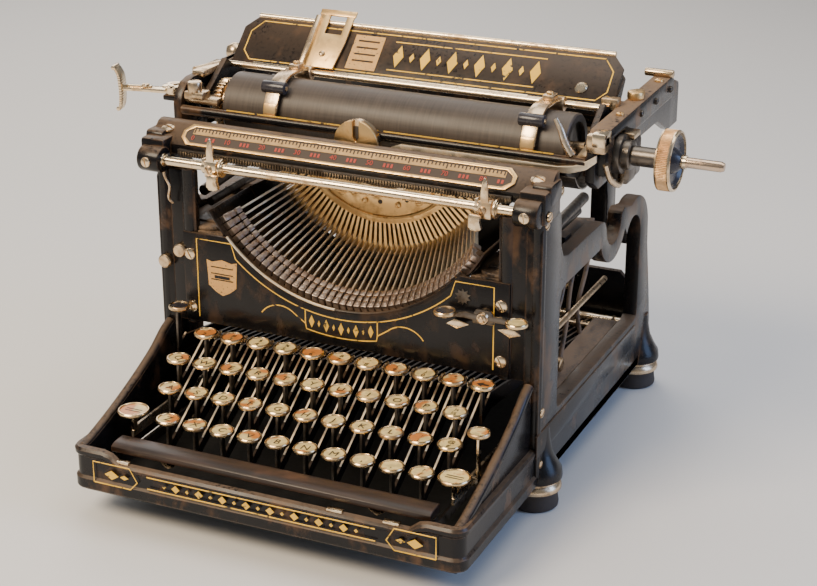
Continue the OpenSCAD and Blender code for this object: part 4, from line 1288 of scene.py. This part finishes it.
class TYPEWRITER_OT_paper_bail(bpy.types.Operator):
    """Rod with two paper fingers and their small rollers"""
    bl_idname = "typewriter.paper_bail"
    bl_label = "Paper fingers"

    def execute(self, context):
        low, high = span("paper_bail")
        bail = Blank().use("bright nickel")
        bail.add(rod((low.x + 0.2, *BAIL_ROD), (high.x - 0.2, *BAIL_ROD), 2, 24))
        for x in (-71, 102):
            strip = [*bow(PLATEN_Y, PLATEN_Z, 25.1, 168, 86, 20), (-50, 246.9), (-40, 246.2), (-35, 244),
                     (-36, 242), (-41, 243.6), (-50, 245), *bow(PLATEN_Y, PLATEN_Z, 23.1, 86, 168, 20)]
            bail.use("nickel").add(slab(9.6, strip, ease=0.3), on_side(x + 0.2))
            bail.use("brass").add(slab(8.6, [*bow(PLATEN_Y, PLATEN_Z, 25.7, 178, 156, 6),
                                             *bow(PLATEN_Y, PLATEN_Z, 23.3, 156, 178, 6)],
                                       ease=0.3), on_side(x + 0.7))
            bail.use("nickel").add(rod((x - 1, *BAIL_ROD), (x + 11, *BAIL_ROD), 4.6, 28, ease=0.6))
            bail.add(cube((x + 1.4, -51, 245.6), (x + 8.6, -42, 249.6), 0.8))
            screw_at(bail, (x + 5, -46.6, 249.4), (0, 0, 1), 2.3, "brass")
            centre = bow(PLATEN_Y, PLATEN_Z, 25.4, 131, 131, 1)[0]
            bail.use("dark face").add(rod((x - 3, *centre), (x + 13, *centre), 4, 32, ease=0.7))
            bail.use("bright nickel").add(rod((x - 3.6, *centre), (x + 13.6, *centre), 1.5, 16))
        bail.done("paper_fingers", "paper_bail", "nickel_steel", "paper_bail")
        return {"FINISHED"}


# ---- Keys ----

KEY_TEXT = {"2": '"2', "3": "#3", "4": "$4", "5": "%5", "6": "_6", "7": "&7", "8": "'8", "9": "(9",
            "0": ")0", "minus": "*-", "half": "¼½", "semicolon": ":;", "cent": "@¢", "comma": ",",
            "period": ".", "slash": "?/",}


def key_top(metal, face, x, y, z, radius, text, top="key face"):
    """A ringed key top whose upper edge is at z, with its letters."""
    r = radius
    ring = [(r - 1.7, z - 1.1), (r - 1.5, z - 0.35), (r - 1.1, z), (r - 0.6, z - 0.05),
            (r - 0.15, z - 0.6), (r, z - 1.4), (r - 0.1, z - 2.1), (r - 0.6, z - 2.7), (r - 1.8, z - 3.2),
            (2.6, z - 3.5), (2.6, z - 4.4), (0, z - 4.4), (0, z - 1.6), (r - 1.7, z - 1.1)]
    metal.use("key ring").add(lathe(ring, 36), moved(x, y, 0))
    dish = [(0, z - 1.5), (r - 1.5, z - 1.5), (r - 1.5, z - 0.75), (r * 0.5, z - 0.85), (0, z - 0.9)]
    face.use(top).add(lathe(dish, 36), moved(x, y, 0))
    size = bpy.context.scene.typewriter_sizes.letter_size
    if len(text) == 2:
        face.use("ink").add(lettering(text[1], size * 0.72, 0.06), moved(x, y - 2.5, z - 0.72))
        face.add(lettering(text[0], size * 0.62, 0.06), moved(x, y + 2.7, z - 0.72))
    elif text:
        face.use("ink").add(lettering(text, size, 0.06), moved(x, y, z - 0.72))


def row_height(y):
    """Height of the key tops of the row at y."""
    return 57.8 + (y + 191.8) * KEY_SLOPE


def key_lever(metal, x, y, z):
    """A flat lever from the stem, up to its knee and back to the fulcrum."""
    front = y - 2.5
    front_z = row_height(front) - 18
    knee_z = row_height(-122.5) - 18
    top = row_height(y + 8) - 18
    outline = [(front + 0.4, front_z - 6.8), (front, front_z), (-122.5, knee_z), (85, 48.3), (88.6, 47.6),
               (89.6, 45), (88.4, 42), (85, 41.2), (-60, knee_z - 18), (-122.5, knee_z - 11)]
    stem = [(front, front_z - 1), (front + 5, front_z + 2), (y + 2, z - 8), (y + 1.5, z - 4),
            (y - 1.5, z - 4), (y - 2, z - 8)]
    metal.use("shaded enamel").add(slab(1.5, outline), on_side(x - 0.75))
    metal.use("dark steel").add(slab(1.7, stem, ease=0.25), on_side(x - 0.85))
    # A bright strip along the top edge of the dark lever: painted highlight.
    edge = [(y + 8, top - 0.8), (-123, knee_z - 1.1), (-123, knee_z), (y + 8, top + 0.05)]
    metal.use("lever edge").add(slab(1.2, edge), on_side(x - 0.6))


def key_spring(metal, x):
    """The hook and spring behind the last row."""
    coil = [(x + 2.38 + 0.85 * math.cos(k * 1.2), -120.5 - k * 0.3, 86.8 + 1.7 * math.sin(k * 1.2))
            for k in range(26)]
    metal.use("bright nickel").add(tube(coil, 0.42, 6))


class TYPEWRITER_OT_keys(bpy.types.Operator):
    """The 42 typing keys with their levers, stems and lettered tops"""
    bl_idname = "typewriter.keys"
    bl_label = "Typing keys"

    def execute(self, context):
        for node in sorted(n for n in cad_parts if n.startswith("key_")):
            low, high = span(node)
            name = node[4:]
            x, radius = (low.x + high.x) / 2, (high.x - low.x) / 2
            y = low.y + radius
            z = row_height(y)
            metal, face = Blank(), Blank()
            key_lever(metal, x, y, z)
            key_spring(metal, x)
            key_top(metal, face, x, y, z, radius, KEY_TEXT.get(name, name.upper()))
            metal.done(node + "_lever", node, "key_steel", node)
            face.done(node + "_top", node, "key_steel")
        return {"FINISHED"}


class TYPEWRITER_OT_control_keys(bpy.types.Operator):
    """Shift keys, lock key, backspace, margin release and the rocker"""
    bl_idname = "typewriter.control_keys"
    bl_label = "Control keys"

    def execute(self, context):
        low, high = span("backspace_key")
        metal, face = Blank(), Blank()
        x, y = (low.x + high.x) / 2, low.y + 7.8
        z = row_height(y)
        key_lever(metal, x, y, z)
        key_top(metal, face, x, y, z, 7.8, "")
        arrow = [(-4, 0), (0, 3), (0, 1), (4, 1), (4, -1), (0, -1), (0, -3)]
        face.use("ink").add(slab(0.1, arrow), moved(x, y, z - 0.83))
        metal.done("backspace_lever", "backspace_key", "key_steel", "backspace_key")
        face.done("backspace_top", "backspace_key", "key_steel")

        metal, face = Blank(), Blank()
        low, high = span("margin_release")
        x, y, z = low.x + 7, low.y + 7, high.z
        key_lever(metal, x - 1.2, y, z)
        key_top(metal, face, x, y, z, 7, "", "dark face")
        metal.done("margin_release_lever", "margin_release", "key_steel", "margin_release")
        face.done("margin_release_top", "margin_release", "key_steel")

        metal, face = Blank(), Blank()
        metal.use("bar steel").add(rod((-120.6, 98, 45), (120.6, 98, 45), 3.5, 28))
        for side in (-1, 1):
            x = side * 108.45
            blade = [(-195.5, 41.6), (-195.5, 46), (-188, 48.4), (92, 48.4), (98, 49.4), (101, 45),
                     (98, 41.2)]
            metal.use("bar steel").add(slab(1.6, blade, [ring(*FULCRUM, 3, 16)]), on_side(x - 0.8))
            metal.use("bright nickel").add(slab(1.8, [(-195.4, 45), (-190.6, 45), (-191.4, 57),
                                                      (-194.6, 57)], ease=0.3), on_side(x - 0.9))
            key_top(metal, face, x, -193, 59.8, 10, "")
            face.use("ink")
            for v in (-1.2, 1.2):
                face.add(slab(0.1, rectangle(-5.5, v - 0.45, 5.5, v + 0.45)), moved(x, -193, 58.94))
        metal.use("bar steel").add(cube((108.5, -169.4, 42.2), (113.4, -164.6, 47.8), 0.5))
        metal.use("bright nickel").add(slab(1.6, [(-169.4, 43), (-164.6, 43), (-165.4, 75),
                                                  (-168.6, 75)], ease=0.3), on_side(111.9))
        key_top(metal, face, 112.65, -167, 77.8, 7, "")
        metal.done("shift_levers", "shift_keys", "key_steel", "shift_keys")
        face.done("shift_tops", "shift_keys", "key_steel")

        metal, face = Blank(), Blank()
        for side, top in ((-1, "dark face"), (1, "key face")):
            x = ROCKER_X + side * 23
            key_top(metal, face, x, -130, 134, 7, "", top)
            arm = [(3, 133), (12, 133.4), (23, 130.4), (23, 128.6), (12, 129.6), (3, 129)][::side]
            arm = [(ROCKER_X + side * u, v) for u, v in arm]
            metal.use("dark steel").add(slab(2, arm, ease=0.4), on_front(-125.2))
            metal.add(cube((x - 1.4, -131, 128.6), (x + 1.4, -125, 130.4), 0.4))
            wing = [(9, 125), (17, 121), (24, 123.4), (19, 127)][::side]
            wing = [(ROCKER_X + side * u, v) for u, v in wing]
            metal.use("bright nickel").add(slab(1.2, wing, ease=0.25), on_front(-124.6))
        metal.use("nickel").add(lathe([(1.7, 0), (4.6, 0), (4.6, 5.4), (3.4, 7.4), (1.7, 7.4), (1.7, 0)],
                                      28), aim((ROCKER_X, -120.4, 131), (0, -1, 0)))
        metal.use("dark steel").add(slab(2.2, [(91, 127), (104, 127), (105, 131), (102, 136), (93, 136),
                                               (90, 131)], ease=0.5), on_front(-124.4))
        screw_at(metal, (ROCKER_X, -127.4, 131), (0, -1, 0), 3, "nickel", 60)
        metal.done("rocker_arms", "tab_rocker", "nickel_steel", "tab_rocker")
        face.done("rocker_tops", "tab_rocker", "nickel_steel")
        pin = Blank().use("nickel")
        pin.add(rod((ROCKER_X, -130, 131), (ROCKER_X, -117.6, 131), 1.5, 16))
        star = toothed(10, (3.4, 0), (5.4, 0.5))
        pin.use("dark steel").add(slab(0.8, star), moved(82, -119.8, 140) @ on_front(0))
        pin.done("rocker_pin", "frame_body", "nickel")
        return {"FINISHED"}


class TYPEWRITER_OT_space_bar(bpy.types.Operator):
    """Wooden space bar on its two arms"""
    bl_idname = "typewriter.space_bar"
    bl_label = "Space bar"

    def execute(self, context):
        wood = Blank().use("wood")
        section = [(-223, 44.6), (-223, 50.4), (-221.6, 52.2), (-219, 53.6), (-215, 54), (-210, 54),
                   (-209, 52.8), (-209, 44.4), (-222, 44)]
        bar = slab(213, section, ease=0.5)
        for vert in bar.verts:
            near_end = max(abs(vert.co.z - 106.5) - 96, 0) / 10.5
            vert.co.y -= 4.4 * near_end * max((vert.co.y - 45) / 9, 0)
        wood.add(bar, on_side(-106.5))
        wood.done("space_bar_wood", "space_bar", "bar_wood", "space_bar")
        arms = Blank()
        for side in (-1, 1):
            x = side * 104.65
            arm = [(-220, 31.4), (-220, 44.4), (-213, 44.4), (-209, 38), (71, 38), (82, 48.4), (88, 47),
                   (89.4, 44), (86, 40.6), (77, 31.4)]
            arms.use("dark steel").add(slab(2.2, arm, [ring(*FULCRUM, 2.2, 16)], ease=0.3),
                                       on_side(x - 1.1))
            for k in (0, 1):
                screw_at(arms, (side * (104 - 12 * k), -216, 44.2), (0, 0, -1), 2.6, "nickel")
            arms.use("nickel").add(slab(1.6, [(-78, 0), (-62, 0), (-66, -5), (-70, -7), (-74, -5)],
                                        ease=0.4), (MIRROR if side > 0 else Matrix())
                                   @ moved(0, -216, 44.4) @ on_front(0))
        arms.done("space_bar_arms", "space_bar", "bar_wood")
        return {"FINISHED"}


# ---- Stage ----

class TYPEWRITER_OT_stage(bpy.types.Operator):
    """Floor, soft lights, world and camera"""
    bl_idname = "typewriter.stage"
    bl_label = "Stage"

    def lamp(self, name, place, target, size, power, colour):
        """A soft rectangular light that looks at its target."""
        light = bpy.data.lights.new(name, "AREA")
        light.shape = "RECTANGLE"
        light.size, light.size_y = size
        light.energy = power
        light.color = colour
        holder = bpy.data.objects.new(name, light)
        holder.location = place
        holder.rotation_euler = (Vector(target) - Vector(place)).to_track_quat("-Z", "Y").to_euler()
        bpy.context.scene.collection.objects.link(holder)

    def execute(self, context):
        sizes = context.scene.typewriter_sizes
        shape = bmesh.new()
        bmesh.ops.create_grid(shape, x_segments=1, y_segments=1, size=sizes.floor_size / 2)
        mesh = bpy.data.meshes.new("floor")
        shape.to_mesh(mesh)
        shape.free()
        floor = bpy.data.objects.new("floor", mesh)
        context.scene.collection.objects.link(floor)
        paint = bpy.data.materials.new("floor_paint")
        paint.use_nodes = True
        shader = paint.node_tree.nodes["Principled BSDF"]
        shader.inputs["Base Color"].default_value = (0.72, 0.71, 0.69, 1)
        shader.inputs["Roughness"].default_value = 0.65
        mesh.materials.append(paint)
        world = bpy.data.worlds.new("studio")
        world.use_nodes = True
        sky = world.node_tree.nodes["Background"]
        sky.inputs["Color"].default_value = (0.80, 0.82, 0.86, 1)
        sky.inputs["Strength"].default_value = 0.30
        context.scene.world = world
        middle = (0.0, -0.06, 0.13)
        self.lamp("key_light", (-0.55, -1.15, 1.35), middle, (0.9, 0.7), 38, (1.0, 0.82, 0.60))
        self.lamp("top_light", (0.1, 0.25, 1.5), middle, (1.6, 1.0), 14, (1.0, 0.95, 0.88))
        self.lamp("side_light", (1.5, 0.1, 0.7), middle, (0.8, 1.2), 15, (0.36, 0.55, 1.0))
        self.lamp("rear_light", (-0.9, 1.1, 0.9), middle, (1.0, 0.8), 8, (1.0, 0.95, 0.9))
        camera = bpy.data.cameras.new("view")
        camera.sensor_width = 36
        camera.lens = sizes.camera_lens
        camera.clip_start, camera.clip_end = 0.05, 50
        holder = bpy.data.objects.new("view", camera)
        holder.location = (0.4741, -1.0622, 0.5542)
        holder.rotation_euler = (math.radians(68.01), 0, math.radians(24.43))
        context.scene.collection.objects.link(holder)
        context.scene.camera = holder
        return {"FINISHED"}


class TYPEWRITER_PT_parts(bpy.types.Panel):
    """Lists the parts of the typewriter"""
    bl_idname = "TYPEWRITER_PT_parts"
    bl_label = "Desk typewriter"
    bl_space_type = "VIEW_3D"
    bl_region_type = "UI"
    bl_category = "Typewriter"

    def draw(self, context):
        for group in (context.scene.typewriter_sizes, context.scene.typewriter_colours):
            for name in group.bl_rna.properties.keys():
                if name not in ("rna_type", "name"):
                    self.layout.prop(group, name)
        for part in PARTS:
            self.layout.operator(part.bl_idname)


PARTS = (TYPEWRITER_OT_stage, TYPEWRITER_OT_frame, TYPEWRITER_OT_feet,
         TYPEWRITER_OT_front_plate, TYPEWRITER_OT_top_bar,
         TYPEWRITER_OT_margin_stops, TYPEWRITER_OT_type_basket,
         TYPEWRITER_OT_inner_works, TYPEWRITER_OT_carriage, TYPEWRITER_OT_paper_table,
         TYPEWRITER_OT_platen, TYPEWRITER_OT_return_lever, TYPEWRITER_OT_paper_bail,
         TYPEWRITER_OT_keys, TYPEWRITER_OT_control_keys, TYPEWRITER_OT_space_bar)
CLASSES = (TypewriterSizes, TypewriterColours, *PARTS, TYPEWRITER_PT_parts)


def register():
    for item in CLASSES:
        bpy.utils.register_class(item)
    bpy.types.Scene.typewriter_sizes = bpy.props.PointerProperty(type=TypewriterSizes)
    bpy.types.Scene.typewriter_colours = bpy.props.PointerProperty(type=TypewriterColours)


def unregister():
    del bpy.types.Scene.typewriter_colours
    del bpy.types.Scene.typewriter_sizes
    for item in reversed(CLASSES):
        bpy.utils.unregister_class(item)


def main():
    register()
    for part in PARTS:
        getattr(bpy.ops.typewriter, part.bl_idname.split(".")[1])()
    bpy.data.meshes.remove(scratch())


if __name__ == "__main__":
    main()
